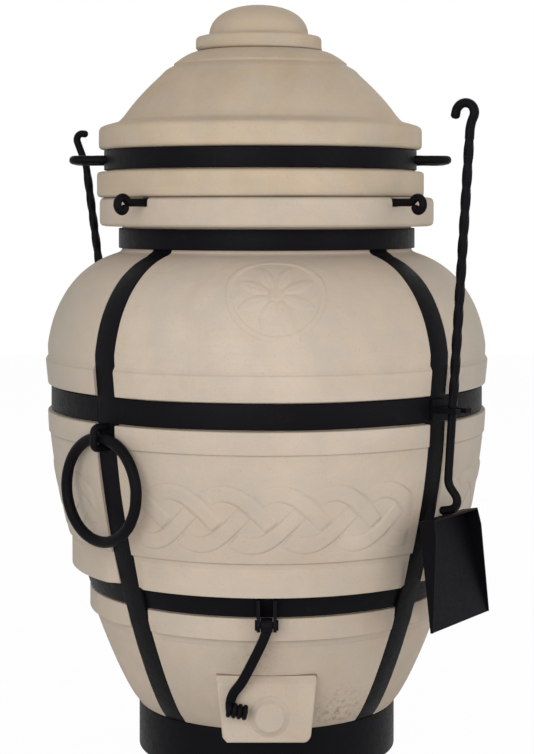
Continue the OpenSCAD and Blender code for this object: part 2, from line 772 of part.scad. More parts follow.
module latch_grip() {
    rib = grip_len / 4;
    translate([-48, -grip_y, grip_z]) rotate([0, 90, 0]) rotate_extrude($fn = 48)
        polygon(concat([[0, 0]],
            [for (i = [0 : 3]) each [[grip_r - 1.6, i * rib], [grip_r, i * rib + 1.5],
                [grip_r, (i + 1) * rib - 1.5], [grip_r - 1.6, (i + 1) * rib]]],
            [[0, grip_len]]));
}

module door_latch() {
    color(iron) difference() {
        union() {
            intersection() {
                rotate([90, 0, 90]) linear_extrude(2 * door_w, center = true)
                    polygon(ribbon(latch_side_line, latch_t / 2, -latch_t / 2));
                front_prism(plug_in_y, pin_y + 2 * eye_r)
                    polygon(ribbon(latch_front_line, latch_w / 2, -latch_w / 2));
            }
            translate([-latch_eye_w / 2, -pin_y, pin_z]) rotate([0, 90, 0])
                cylinder(r = eye_r, h = latch_eye_w, $fn = 48);
            latch_grip();
        }
        translate([-latch_eye_w, -pin_y, pin_z]) rotate([0, 90, 0])
            cylinder(r = latch_pin_d / 2 + 0.1, h = 2 * latch_eye_w, $fn = 48);
    }
}

ear_x = latch_eye_w / 2 + ear_gap;
module latch_pin() {
    color(iron) translate([-ear_x - ear_t - 2, -pin_y, pin_z]) rotate([0, 90, 0]) {
        cylinder(r = latch_pin_d / 2, h = 2 * (ear_x + ear_t) + 4, $fn = 48);
        for (x = [0, 2 * (ear_x + ear_t) + 2])
            translate([0, 0, x]) cylinder(r = latch_pin_d / 2 + 2, h = 2, $fn = 48);
    }
}

module latch_bracket() {
    top = low_band_z + low_band_h / 2 - 2;
    low = low_band_z - low_band_h / 2 + 0.5;
    color(iron) difference() {
        for (x = [-ear_x - ear_t, ear_x]) translate([x, 0, 0]) rotate([90, 0, 90])
            linear_extrude(ear_t) polygon([[-skin_r(low) + 8, low],
                [-skin_r(top) + 8, top], [-skin_r(top) - 4, top], [-pin_y - 5, pin_z + 9],
                [-pin_y - 8, pin_z], [-pin_y - 5, pin_z - 7], [-pin_y + 4, pin_z - 7],
                [-skin_r(low), low]]);
        skin_solid(-iron_t);
        translate([-30, -pin_y, pin_z]) rotate([0, 90, 0])
            cylinder(r = latch_pin_d / 2 + 0.1, h = 60, $fn = 48);
    }
}

clay_pot();
base_ring();
lower_band();
middle_band();
neck_band();
strap_at(-45);  // strap_front_left
strap_at(45);  // strap_front_right
strap_at(-135);  // strap_back_left
strap_at(135);  // strap_back_right
staple_at(-45);  // staple_front_left
staple_at(135);  // staple_back_right
ring_at(-45);  // ring_front_left
ring_at(135);  // ring_back_right
holder_at(scoop_bearing, scoop_r);  // scoop_holder
holder_at(poker_bearing, poker_r);  // poker_holder
scoop_handle();
scoop_pan();
poker();
fire_grate();
hanging_cross();
lid_shell();
lid_band();
lid_handle(-1);  // lid_handle_left
lid_handle(1);  // lid_handle_right
lid_cap();
ash_door();
door_latch();
latch_pin();
latch_bracket();
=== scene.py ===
import bpy
import bmesh
import math
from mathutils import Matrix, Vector, noise


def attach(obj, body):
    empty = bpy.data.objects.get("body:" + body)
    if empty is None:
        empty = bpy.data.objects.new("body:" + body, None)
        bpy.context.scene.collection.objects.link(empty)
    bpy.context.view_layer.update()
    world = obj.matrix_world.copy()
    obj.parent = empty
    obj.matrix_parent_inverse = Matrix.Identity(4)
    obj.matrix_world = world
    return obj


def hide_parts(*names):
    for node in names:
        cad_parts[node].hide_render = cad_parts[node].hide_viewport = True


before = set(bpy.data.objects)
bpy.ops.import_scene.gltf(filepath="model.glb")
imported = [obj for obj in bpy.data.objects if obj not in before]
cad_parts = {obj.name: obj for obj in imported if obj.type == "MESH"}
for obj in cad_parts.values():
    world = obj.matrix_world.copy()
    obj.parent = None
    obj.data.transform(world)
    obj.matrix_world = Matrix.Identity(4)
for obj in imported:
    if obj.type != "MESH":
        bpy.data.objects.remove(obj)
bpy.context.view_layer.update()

bl_info = {
    "name": "Clay tandoor oven",
    "version": (1, 0, 0),
    "blender": (4, 5, 0),
    "location": "View3D > Sidebar > Tandoor",
    "description": "Dresses a clay tandoor oven: fired clay, forged iron cage and hearth tools",
    "category": "Object",
}

# Sizes are in millimetres, and a bearing is in degrees round the pot: 0 is the front, 90 is +X.
MM = 0.001
LID_SHIFT = -8.0                # the lid sits a little to the left of the pot
CAP_SHIFT = -2.2                # and the cap a little further
STRAP_BEARINGS = {"strap_front_left": -43, "strap_front_right": 47,
                  "strap_back_left": -133, "strap_back_right": 137}
STRAP_WIDE = 33
TONGUE_WIDE = 31                # a strap's end, drawn down to pass under the neck's band
IRON_THICK = 4
WALL = 46                       # thickness of the pot's clay
NECK_R = 184
RIM_R = 212.5
RIM_TOP = 690
BASE_TOP = 57.3                 # top of the base ring, with its clearance
WIDEST_Z = 506
GRATE_LEDGE = 150
SPIGOT_TOP = 876.3              # underside of the cap's flange
CROSS_TURNS = (46.5, -43.5)     # bearings of the hanging cross's two bars, from +X
DOOR_FACE = 205                 # how far in front of the axis the ash door's face stands
BASE_LINE_R = 264               # radius at which the plait is laid out along the belly

# Belts of the pot: lowest height, highest height, radius or None for the skin's own, stand-out
BELTS = ((BASE_TOP, 177, None, 0), (177, 203.5, 224.4, 0), (203.5, 231.5, None, -9.1),
         (231.5, 262, 246.8, 0), (264, 271, None, 0.6), (271, 398, None, 3),
         (398, 424.5, None, 4.6), (424.5, 457.5, 268.4, 0), (457.5, 487.5, None, 3.6))


# ---------------------------------------------------------------- outlines

def held(value):
    """A value held between 0 and 1."""
    return min(max(value, 0), 1)


def eased(value):
    """A value held between 0 and 1, with a soft start and a soft end."""
    t = held(value)
    return t * t * (3 - 2 * t)


def bezier(points, count):
    """Points along a cubic curve, both ends included."""
    out = []
    for i in range(count + 1):
        t = i / count
        u = 1 - t
        weights = (u ** 3, 3 * u * u * t, 3 * u * t * t, t ** 3)
        out.append(tuple(sum(w * p[k] for w, p in zip(weights, points)) for k in (0, 1)))
    return out


# The pot's plain face as (radius, height), from the base ring up to the neck
LOWER_SKIN = bezier([(162, BASE_TOP), (191, 84.3), (276, 307), (272.7, 441)], 60)
BELLY_SKIN = bezier([(272.7, 441), (272.7, 463), (277.5, 484), (277.5, WIDEST_Z)], 10)
SHOULDER_SKIN = bezier([(277.5, WIDEST_Z), (273, 542), (254, 604), (NECK_R, 622)], 34)
SKIN = LOWER_SKIN + BELLY_SKIN[1:] + SHOULDER_SKIN[1:]
UPRIGHT_SKIN = LOWER_SKIN + BELLY_SKIN[1:]


def skin_radius(z):
    """Radius of the clay's plain face at a height below the widest part."""
    for a, b in zip(UPRIGHT_SKIN, UPRIGHT_SKIN[1:]):
        if a[1] <= z <= b[1]:
            return a[0] + (b[0] - a[0]) * (z - a[1]) / (b[1] - a[1])
    return UPRIGHT_SKIN[0][0] if z < UPRIGHT_SKIN[0][1] else UPRIGHT_SKIN[-1][0]


def rounded(corners, default=2.0, steps=4):
    """Closed outline whose corners are eased. A corner is (r, z) or (r, z, ease)."""
    out = []
    count = len(corners)
    for i, corner in enumerate(corners):
        here = Vector(corner[:2])
        ease = corner[2] if len(corner) > 2 else default
        before = Vector(corners[(i - 1) % count][:2]) - here
        after = Vector(corners[(i + 1) % count][:2]) - here
        reach = min(ease, before.length * 0.49, after.length * 0.49)
        straight = math.pi - before.angle(after, math.pi) < math.radians(5)
        on_axis = here.x < 0.01
        if reach < 0.05 or on_axis or straight:
            out.append(tuple(here))
            continue
        start = here + before.normalized() * reach
        end = here + after.normalized() * reach
        for k in range(steps + 1):
            t = k / steps
            point = start * (1 - t) ** 2 + here * 2 * t * (1 - t) + end * t * t
            out.append(tuple(point))
    return out


def belt(low, high, radius=None, out=0.0, ease=2.0, step=12.0):
    """Corners of one belt of clay between two heights, at a radius or proud of the skin."""
    count = max(1, int((high - low) / step))
    points = []
    for i in range(count + 1):
        z = low + (high - low) * i / count
        edge = i in (0, count)
        points.append((radius if radius else skin_radius(z) + out, z, ease if edge else 4.0))
    return points


def normals_of(path):
    """Outward unit normals, in the plane of radius and height, of a rising path."""
    out = []
    for i in range(len(path)):
        a = Vector(path[max(i - 1, 0)])
        b = Vector(path[min(i + 1, len(path) - 1)])
        along = (b - a).normalized()
        out.append(Vector((along.y, -along.x)))
    return out


def place(radius, bearing, z, shift=0.0):
    """A point in metres at a radius and a bearing in degrees; bearing 0 is the front."""
    turn = math.radians(bearing)
    return Vector(((radius * math.sin(turn) + shift) * MM,
                   -radius * math.cos(turn) * MM, z * MM))


# ---------------------------------------------------------------- mesh makers

def finish_mesh(name, mesh, body, material, replaces=(), crease=38):
    """Turns a mesh into a piece that rides on a body of the oven."""
    work = bmesh.new()
    work.from_mesh(mesh)
    bmesh.ops.remove_doubles(work, verts=work.verts, dist=2e-6)
    bmesh.ops.recalc_face_normals(work, faces=work.faces)
    for face in work.faces:
        face.smooth = True
    for edge in work.edges:
        edge.smooth = not (len(edge.link_faces) == 2
                           and edge.calc_face_angle(0) > math.radians(crease))
    work.to_mesh(mesh)
    work.free()
    mesh.materials.clear()
    mesh.materials.append(material)
    piece = bpy.data.objects.new(name, mesh)
    bpy.context.scene.collection.objects.link(piece)
    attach(piece, body)
    if replaces:
        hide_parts(*replaces)
    return piece


def grid_mesh(name, rows, closed_rows, closed_columns, cap_start=False, cap_end=False):
    """Mesh over rows of points. Rows may close on the first, and each row on itself."""
    mesh = bpy.data.meshes.new(name)
    points = [p for row in rows for p in row]
    wide = len(rows[0])
    faces = []
    last_row = len(rows) if closed_rows else len(rows) - 1
    last_column = wide if closed_columns else wide - 1
    for i in range(last_row):
        for j in range(last_column):
            a = i * wide + j
            b = i * wide + (j + 1) % wide
            c = ((i + 1) % len(rows)) * wide + (j + 1) % wide
            d = ((i + 1) % len(rows)) * wide + j
            faces.append((a, b, c, d))
    if cap_start:
        faces.append(tuple(range(wide)))
    if cap_end:
        faces.append(tuple((len(rows) - 1) * wide + j for j in range(wide)))
    mesh.from_pydata([tuple(p) for p in points], [], faces)
    return mesh


def beside_strap(r, bearing, z):
    """A belt's radius, eased down to the skin where it comes up against a strap."""
    skin = skin_radius(z)
    if not 150 < z < 270 or r < skin:
        return r
    half_strap, run_out, least = 17, 16, 0.12
    nearest = min(abs((bearing - b + 180) % 360 - 180) for b in STRAP_BEARINGS.values())
    away = eased((r * math.radians(nearest) - half_strap) / run_out)
    return skin + (r - skin) * (least + (1 - least) * away)


def turned(name, outline, segments, shift, wobble, seed, ease=None):
    """A closed outline of (radius, height) turned round the upright axis.

    The wobble is how far the hand let the face stray inwards. The ease is a function
    that may draw a radius in, from the radius, the bearing and the height.
    """
    rows = []
    for k in range(segments):
        bearing = 360.0 * k / segments
        row = []
        for r, z in outline:
            if ease:
                r = ease(r, bearing, z)
            point = place(r, bearing, z, shift)
            if r > 1:
                cell = Vector((point.x * 9, point.y * 9, point.z * 30 + seed))
                stray = (noise.noise(cell) - 1) * wobble * 0.5
                point = place(r + stray, bearing, z if z < 2 else z + 0.4 * stray, shift)
            row.append(point)
        rows.append(row)
    return grid_mesh(name, rows, True, True)


def bar_section(width, depth, ease, steps=3):
    """Rounded rectangle, width across and depth inwards from the outer face."""
    corners = [(-width / 2, 0, ease), (width / 2, 0, ease),
               (width / 2, -depth, ease * 0.5), (-width / 2, -depth, ease * 0.5)]
    out = []
    for i, (x, y, e) in enumerate(corners):
        here = Vector((x, y))
        before = (Vector(corners[i - 1][:2]) - here).normalized() * e
        after = (Vector(corners[(i + 1) % 4][:2]) - here).normalized() * e
        for k in range(steps + 1):
            t = k / steps
            out.append((here + before) * (1 - t) ** 2 + here * 2 * t * (1 - t)
                       + (here + after) * t * t)
    return out


def strap_mesh(name, path, bearing, thickness, ease, rough):
    """A strip that climbs the pot along a path of (radius, height) at one bearing."""
    rows = []
    for point, normal in zip(path, normals_of(path)):
        row = []
        for w, d in bar_section(strap_width(point[1]), thickness, ease):
            q = Vector(point) + normal * d
            cell = Vector((w * 0.08 + bearing, point[1] * 0.035, d))
            if abs(w) > 3:
                w += noise.noise(cell) * rough
            r = math.sqrt(max(q.x * q.x - w * w, 1))
            turn = math.degrees(math.atan2(w, r))
            row.append(place(math.hypot(r, w), bearing + turn, q.y))
        rows.append(row)
    return grid_mesh(name, rows, False, True, True, True)


def round_bar(name, path, radius, sides, close=False, rough=0.0):
    """A bar swept along a path of points in mm, with rounded ends."""
    points = [Vector(p) for p in path]
    tangents = []
    for i in range(len(points)):
        if close:
            a, b = points[i - 1], points[(i + 1) % len(points)]
        else:
            a, b = points[max(i - 1, 0)], points[min(i + 1, len(points) - 1)]
        tangents.append((b - a).normalized())
    up = Vector((0, 0, 1)) if abs(tangents[0].z) < 0.9 else Vector((1, 0, 0))
    side = tangents[0].cross(up).normalized()
    rows = []

    def ring(centre, along, across, size):
        """One ring of points across the bar."""
        third = across.cross(along).normalized()
        out = []
        for k in range(sides):
            a = 2 * math.pi * k / sides
            bump = 1 + rough * noise.noise(centre * 0.09 + Vector((k * 0.7, 0, 0)))
            out.append((centre + (across * math.cos(a) + third * math.sin(a))
                        * size * bump) * MM)
        return out

    if not close:
        for k in (0.06, 0.35, 0.7):
            rows.append(ring(points[0] - tangents[0] * radius * math.cos(math.asin(k)) * 0.6,
                             tangents[0], side, radius * k))
    for i, (point, along) in enumerate(zip(points, tangents)):
        side = (side - along * side.dot(along)).normalized()
        rows.append(ring(point, along, side, radius))
    if not close:
        for k in (0.7, 0.35, 0.06):
            rows.append(ring(points[-1] + tangents[-1] * radius
                             * math.cos(math.asin(k)) * 0.6, tangents[-1], side, radius * k))
    return grid_mesh(name, rows, close, True, not close, not close)


def walk(steps, spacing=2.5):
    """Points of a path in a plane made of runs and bends, from the origin along +X."""
    here = Vector((0, 0))
    heading = 0.0
    out = [here.copy()]
    for step in steps:
        if step[0] == "run":
            count = max(1, int(step[1] / (spacing * 2)))
            for part in range(count):
                here = here + Vector((math.cos(heading), math.sin(heading))) * step[1] / count
                out.append(here.copy())
        else:
            angle = math.radians(step[2])
            count = max(2, int(abs(angle) * step[1] / spacing) + 1)
            chord = 2 * step[1] * math.sin(abs(angle) / count / 2)
            for part in range(count):
                heading += angle / count / 2
                here = here + Vector((math.cos(heading), math.sin(heading))) * chord
                heading += angle / count / 2
                out.append(here.copy())
    return out


def closed(mesh):
    """Closes a mesh at its seams and turns its faces outwards."""
    work = bmesh.new()
    work.from_mesh(mesh)
    bmesh.ops.remove_doubles(work, verts=work.verts, dist=1e-6)
    bmesh.ops.recalc_face_normals(work, faces=work.faces)
    work.to_mesh(mesh)
    work.free()


def cut(piece_mesh, cutters):
    """The mesh with the closed cutter meshes taken out of it."""
    target = bpy.data.objects.new("cut_target", piece_mesh)
    bpy.context.scene.collection.objects.link(target)
    group = bpy.data.collections.new("cutters")
    bpy.context.scene.collection.children.link(group)
    tools = []
    for mesh in cutters:
        closed(mesh)
        tool = bpy.data.objects.new("cutter", mesh)
        group.objects.link(tool)
        tools.append(tool)
    closed(piece_mesh)
    boolean = target.modifiers.new("cut", "BOOLEAN")
    boolean.operation = "DIFFERENCE"
    boolean.solver = "EXACT"
    boolean.operand_type = "COLLECTION"
    boolean.collection = group
    bpy.context.view_layer.update()
    graph = bpy.context.evaluated_depsgraph_get()
    result = bpy.data.meshes.new_from_object(target.evaluated_get(graph))
    for tool in tools + [target]:
        bpy.data.objects.remove(tool)
    bpy.data.collections.remove(group)
    return result


def box_mesh(name, low, high):
    """A plain box in mm, used only to cut with."""
    (x0, y0, z0), (x1, y1, z1) = low, high
    points = [Vector(p) * MM for p in ((x0, y0, z0), (x1, y0, z0), (x1, y1, z0), (x0, y1, z0),
                                       (x0, y0, z1), (x1, y0, z1), (x1, y1, z1), (x0, y1, z1))]
    mesh = bpy.data.meshes.new(name)
    mesh.from_pydata([tuple(p) for p in points], [],
                     [(0, 3, 2, 1), (4, 5, 6, 7), (0, 1, 5, 4), (1, 2, 6, 5),
                      (2, 3, 7, 6), (3, 0, 4, 7)])
    return mesh


def prism_mesh(name, outline, near, far):
    """A front-facing prism over an outline of (x, z), from y = -near back to y = -far."""
    rows = [[Vector((x, -y, z)) * MM for x, z in outline] for y in (near, far)]
    return grid_mesh(name, rows, False, True, True, True)


def smooth_line(points, per_span=8):
    """A smooth line in space through the given points."""
    pts = [Vector(p) for p in points]
    ends = [pts[0] * 2 - pts[1]] + pts + [pts[-1] * 2 - pts[-2]]
    out = []
    for i in range(1, len(ends) - 2):
        p0, p1, p2, p3 = ends[i - 1:i + 3]
        for k in range(per_span):
            t = k / per_span
            out.append(0.5 * ((2 * p1) + (p2 - p0) * t + (2 * p0 - 5 * p1 + 4 * p2 - p3) * t * t
                              + (3 * p1 - p0 - 3 * p2 + p3) * t ** 3))
    out.append(pts[-1])
    return out


def flat_bar(name, path, width, depth, ease, face):
    """A flat bar swept along a line in mm; its broad face looks along `face`."""
    points = [Vector(p) for p in path]
    section = bar_section(width, depth, ease)
    rows = []
    for i, point in enumerate(points):
        along = (points[min(i + 1, len(points) - 1)] - points[max(i - 1, 0)]).normalized()
        out = (Vector(face) - along * along.dot(Vector(face))).normalized()
        across = along.cross(out)
        rows.append([(point + across * w + out * (d + depth / 2)) * MM for w, d in section])
    return grid_mesh(name, rows, False, True, True, True)


def joined(name, meshes):
    """One mesh that holds several closed meshes."""
    work = bmesh.new()
    for mesh in meshes:
        work.from_mesh(mesh)
    out = bpy.data.meshes.new(name)
    work.to_mesh(out)
    work.free()
    return out


# ---------------------------------------------------------------- finishes

class Tree:
    """Short calls that both kinds of node tree share."""

    def add(self, kind):
        """A new node of a kind."""
        return self.tree.nodes.new(kind)

    def link(self, a, b):
        """Joins an output socket to an input socket."""
        self.tree.links.new(a, b)

    def sum(self, operation, a, b):
        """One step of arithmetic on two sockets, or on a socket and a number."""
        node = self.add("ShaderNodeMath")
        node.operation = operation
        for value, socket in ((a, node.inputs[0]), (b, node.inputs[1])):
            if isinstance(value, (int, float)):
                socket.default_value = value
            else:
                self.link(value, socket)
        return node.outputs[0]


class Nodes(Tree):
    """Short calls for building a material."""

    def __init__(self, name):
        self.material = bpy.data.materials.new(name)
        self.material.use_nodes = True
        self.tree = self.material.node_tree
        self.shader = self.tree.nodes["Principled BSDF"]
        self.place = self.add("ShaderNodeTexCoord").outputs["Object"]

    def mapped(self, scale, location=(0, 0, 0)):
        """The piece's own coordinates, scaled and moved."""
        node = self.add("ShaderNodeMapping")
        node.inputs["Scale"].default_value = scale
        node.inputs["Location"].default_value = location
        self.link(self.place, node.inputs["Vector"])
        return node.outputs["Vector"]

    def cloud(self, scale, detail=4.0, rough=0.55, vector=None, warp=0.0):
        """Cloudy noise, from 0 to 1."""
        node = self.add("ShaderNodeTexNoise")
        node.inputs["Scale"].default_value = scale
        node.inputs["Detail"].default_value = detail
        node.inputs["Roughness"].default_value = rough
        node.inputs["Distortion"].default_value = warp
        self.link(vector or self.place, node.inputs["Vector"])
        return node.outputs["Fac"]

    def spread(self, value, low, high, out_low=0.0, out_high=1.0):
        """A value spread from one range to another."""
        node = self.add("ShaderNodeMapRange")
        node.inputs["From Min"].default_value = low
        node.inputs["From Max"].default_value = high
        node.inputs["To Min"].default_value = out_low
        node.inputs["To Max"].default_value = out_high
        self.link(value, node.inputs["Value"])
        return node.outputs["Result"]

    def times(self, a, b):
        """Two values multiplied."""
        return self.sum("MULTIPLY", a, b)

    def plus(self, a, b):
        """Two values added."""
        return self.sum("ADD", a, b)

    def far(self, value, spot):
        """How far a value is from a spot, either way."""
        return self.sum("ABSOLUTE", self.sum("SUBTRACT", value, spot), 0.0)

    def tint(self, factor, a, b):
        """Colour a, turned to colour b by a factor."""
        node = self.add("ShaderNodeMix")
        node.data_type = "RGBA"
        self.link(factor, node.inputs[0])
        for socket, colour in ((node.inputs[6], a), (node.inputs[7], b)):
            if hasattr(colour, "links"):
                self.link(colour, socket)
            else:
                socket.default_value = (*colour, 1)
        return node.outputs[2]

    def bump(self, height, strength, distance, after=None):
        """The surface raised by a height, over any relief that comes before it."""
        node = self.add("ShaderNodeBump")
        node.inputs["Strength"].default_value = strength
        node.inputs["Distance"].default_value = distance
        self.link(height, node.inputs["Height"])
        if after is not None:
            self.link(after, node.inputs["Normal"])
        return node.outputs["Normal"]


def clay_finish(name, pale, deep, grey, scorch, shade_lines):
    """Fired clay: cloudy tone, faint throwing lines, grit, small pits and painted shade.

    A scorch is a centre, a reach and a strength, and a shade line a height, a reach and a
    strength: painted shade along the steps of the belts and at the rim's joint round the pot.
    """
    n = Nodes(name)
    blotch = n.spread(n.cloud(5.5, 5, 0.6, warp=0.4), 0.34, 0.66)
    patch = n.spread(n.cloud(22, 6, 0.65), 0.42, 0.72)
    lines = n.cloud(2.2, 6, 0.7, n.mapped((1.4, 1.4, 46)))
    grit = n.cloud(520, 2, 0.6)
    colour = n.tint(blotch, pale, deep)
    colour = n.tint(n.times(patch, 0.45), colour, grey)
    colour = n.tint(n.times(n.spread(lines, 0.5, 0.78), 0.30), colour, deep)
    # A darker clay tone, used for the grit and for the painted shade lines.
    dusty_and_shade = tuple(c * 0.62 for c in deep)
    soot = (0.20, 0.125, 0.07)
    colour = n.tint(n.times(n.spread(grit, 0.60, 0.74), 0.35), colour, dusty_and_shade)
    for (x, y, z), size, strength in scorch:
        ball = n.add("ShaderNodeTexGradient")
        ball.gradient_type = "SPHERICAL"
        k = 1 / (size * MM)
        n.link(n.mapped((k, k, k), (-x * MM * k, -y * MM * k, -z * MM * k)),
               ball.inputs["Vector"])
        sooty = n.times(n.spread(n.cloud(150, 8, 0.80), 0.48, 0.64), ball.outputs["Fac"])
        colour = n.tint(n.times(sooty, strength), colour, soot)
    axes = n.add("ShaderNodeSeparateXYZ")
    n.link(n.place, axes.inputs["Vector"])
    # Painted shade: the clay turns greyer towards the flanks, where the light falls off.
    painted_side_shade = n.spread(n.times(axes.outputs["X"], axes.outputs["X"]), 0.030, 0.070)
    colour = n.tint(n.times(painted_side_shade, 0.45), colour, grey)
    # Painted shade: a darker line at each of these heights, where shade falls under the belts'
    # steps and in the rim's joint.
    for height, reach, strength in shade_lines:
        line = n.spread(n.far(axes.outputs["Z"], height * MM), 0.0, reach * MM, 1.0, 0.0)
        line = n.times(line, n.spread(n.cloud(14, 3), 0.30, 0.62, 0.45, 1.0))
        colour = n.tint(n.times(line, strength), colour, dusty_and_shade)
    # Painted shade: the plait's grooves and frame lines are darkened where shade falls in them.
    grooves = n.add("ShaderNodeAttribute")
    grooves.attribute_name = "groove"
    colour = n.tint(n.times(grooves.outputs["Fac"], 0.80), colour,
                    tuple(c * 0.64 for c in deep))
    n.link(colour, n.shader.inputs["Base Color"])
    n.shader.inputs["Roughness"].default_value = 0.86
    n.shader.inputs["Specular IOR Level"].default_value = 0.28
    pits = n.add("ShaderNodeTexVoronoi")
    pits.inputs["Scale"].default_value = 210
    n.link(n.place, pits.inputs["Vector"])
    pit = n.times(n.spread(pits.outputs["Distance"], 0.0, 0.22), n.spread(n.cloud(40), 0.45, 0.6))
    normal = n.bump(lines, 0.28, 0.0012)
    normal = n.bump(n.cloud(60, 5, 0.6), 0.22, 0.0010, normal)
    normal = n.bump(pit, 0.22, 0.0006, normal)
    normal = n.bump(grit, 0.30, 0.0004, normal)
    n.link(normal, n.shader.inputs["Normal"])
    return n.material


def iron_finish(name, black, worn, gloss, dents=70.0, shine=0.052):
    """Hand-forged iron under black paint: dents, scale and slightly worn places."""
    n = Nodes(name)
    wear = n.spread(n.cloud(34, 8, 0.7), 0.56, 0.76)
    fine = n.spread(n.cloud(240, 5, 0.65), 0.45, 0.7)
    colour = n.tint(n.times(wear, n.spread(n.cloud(150, 4, 0.6), 0.4, 0.65)), black, worn)
    n.link(colour, n.shader.inputs["Base Color"])
    n.shader.inputs["Metallic"].default_value = 0.0
    n.shader.inputs["Specular IOR Level"].default_value = shine
    n.link(n.plus(n.spread(fine, 0, 1, gloss - 0.07, gloss + 0.06),
                  n.times(wear, 0.10)), n.shader.inputs["Roughness"])
    normal = n.bump(n.cloud(dents, 3, 0.5), 0.40, 0.0016)
    normal = n.bump(n.cloud(420, 4, 0.7), 0.30, 0.0004, normal)
    n.link(normal, n.shader.inputs["Normal"])
    return n.material


FINISHES = {}


def finish(name):
    """The named finish, made once from the colours in the panel."""
    if name in FINISHES:
        return FINISHES[name]
    clay = bpy.context.scene.tandoor_clay
    iron = bpy.context.scene.tandoor_iron
    # Painted shadow in the joint where the lid sits on the rim.
    rim_shade_line = (RIM_TOP, 3.2, 0.95)
    if name == "pot clay":
        scorch = (((84, -148, 76), 52, 0.95), ((-120, -148, 78), 36, 0.35),
                  ((-12, -210, 152), 36, 0.40))
        # Painted shade under the steps of the belts, round the pot.
        shade_lines = ((397.4, 2.0, 0.55), (270.6, 2.0, 0.50), (176.3, 1.8, 0.45),
                 (487.8, 1.6, 0.35), (169, 1.2, 0.25), rim_shade_line)
        made = clay_finish("Pot clay", tuple(clay.pot_pale), tuple(clay.pot_deep),
                           tuple(clay.pot_grey), scorch, shade_lines)
    elif name == "lid clay":
        made = clay_finish("Lid clay", tuple(clay.lid_pale), tuple(clay.lid_deep),
                           tuple(clay.pot_grey), (), (rim_shade_line,))
    elif name == "cast grate":
        made = iron_finish("Cast grate", (0.05, 0.046, 0.043), (0.16, 0.09, 0.05), 0.72)
    elif name == "sheet iron":
        made = iron_finish("Sheet iron", tuple(iron.black), tuple(iron.worn),
                           iron.gloss - 0.02, 26.0, 0.038)
    else:
        made = iron_finish("Forged iron", tuple(iron.black), tuple(iron.worn), iron.gloss)
    FINISHES[name] = made
    return made


def dress_node(node, finish_name):
    """Gives a solid of the frame its finish and keeps its shape."""
    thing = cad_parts[node]
    for i in range(len(thing.material_slots)):
        thing.material_slots[i].material = finish(finish_name)


# ---------------------------------------------------------------- repeating pieces

def grown(name, tree, values):
    """The plain mesh that a node tree makes, with its inputs set by identifier."""
    holder = bpy.data.objects.new(name, bpy.data.meshes.new(name))
    bpy.context.scene.collection.objects.link(holder)
    modifier = holder.modifiers.new(name, "NODES")
    modifier.node_group = tree
    sockets = {s.name: s.identifier for s in tree.interface.items_tree
               if s.item_type == "SOCKET" and s.in_out == "INPUT"}
    for key, value in values.items():
        modifier[sockets[key]] = value
    bpy.context.view_layer.update()
    graph = bpy.context.evaluated_depsgraph_get()
    mesh = bpy.data.meshes.new_from_object(holder.evaluated_get(graph))
    bpy.data.objects.remove(holder)
    if not mesh.polygons:
        raise RuntimeError(f"the tree of {name} made no faces")
    return mesh


class Grower(Tree):
    """Short calls for building a tree that grows a shape."""

    def __init__(self, name, inputs):
        self.tree = bpy.data.node_groups.new(name, "GeometryNodeTree")
        self.tree.interface.new_socket("Geometry", in_out="OUTPUT",
                                       socket_type="NodeSocketGeometry")
        for label, kind, default in inputs:
            socket = self.tree.interface.new_socket(label, in_out="INPUT",
                                                    socket_type="NodeSocket" + kind)
            if default is not None:
                socket.default_value = default
        self.start = self.tree.nodes.new("NodeGroupInput")
        self.end = self.tree.nodes.new("NodeGroupOutput")

    def close(self, geometry, material):
        """Ends the tree: real faces with a material."""
        real = self.add("GeometryNodeRealizeInstances")
        self.link(geometry, real.inputs[0])
        paint = self.add("GeometryNodeSetMaterial")
        paint.inputs["Material"].default_value = material
        self.link(real.outputs[0], paint.inputs["Geometry"])
        self.link(paint.outputs[0], self.end.inputs[0])
        return self.tree


def twisted_tree():
    """A square bar with eased corners, twisted about the line from Start to End."""
    g = Grower("Twisted bar", [("Start", "Vector", None), ("End", "Vector", None),
                               ("Side", "Float", 0.01), ("Pitch", "Float", 0.064),
                               ("Corner", "Float", 0.0012)])
    line = g.add("GeometryNodeCurvePrimitiveLine")
    g.link(g.start.outputs["Start"], line.inputs["Start"])
    g.link(g.start.outputs["End"], line.inputs["End"])
    fine = g.add("GeometryNodeResampleCurve")
    fine.inputs["Count"].default_value = 170
    g.link(line.outputs[0], fine.inputs["Curve"])
    along = g.add("GeometryNodeSplineParameter")
    tilt = g.add("GeometryNodeSetCurveTilt")
    g.link(fine.outputs[0], tilt.inputs["Curve"])
    turns = g.sum("DIVIDE", along.outputs["Length"], g.start.outputs["Pitch"])
    g.link(g.sum("MULTIPLY", turns, 2 * math.pi), tilt.inputs["Tilt"])
    square = g.add("GeometryNodeCurvePrimitiveQuadrilateral")
    g.link(g.start.outputs["Side"], square.inputs["Width"])
    g.link(g.start.outputs["Side"], square.inputs["Height"])
    ease = g.add("GeometryNodeFilletCurve")
    ease.mode = "POLY"
    ease.inputs["Count"].default_value = 3
    g.link(square.outputs[0], ease.inputs["Curve"])
    g.link(g.start.outputs["Corner"], ease.inputs["Radius"])
    body = g.add("GeometryNodeCurveToMesh")
    body.inputs["Fill Caps"].default_value = True
    g.link(tilt.outputs[0], body.inputs["Curve"])
    g.link(ease.outputs[0], body.inputs["Profile Curve"])
    return g.close(body.outputs[0], finish("forged iron"))


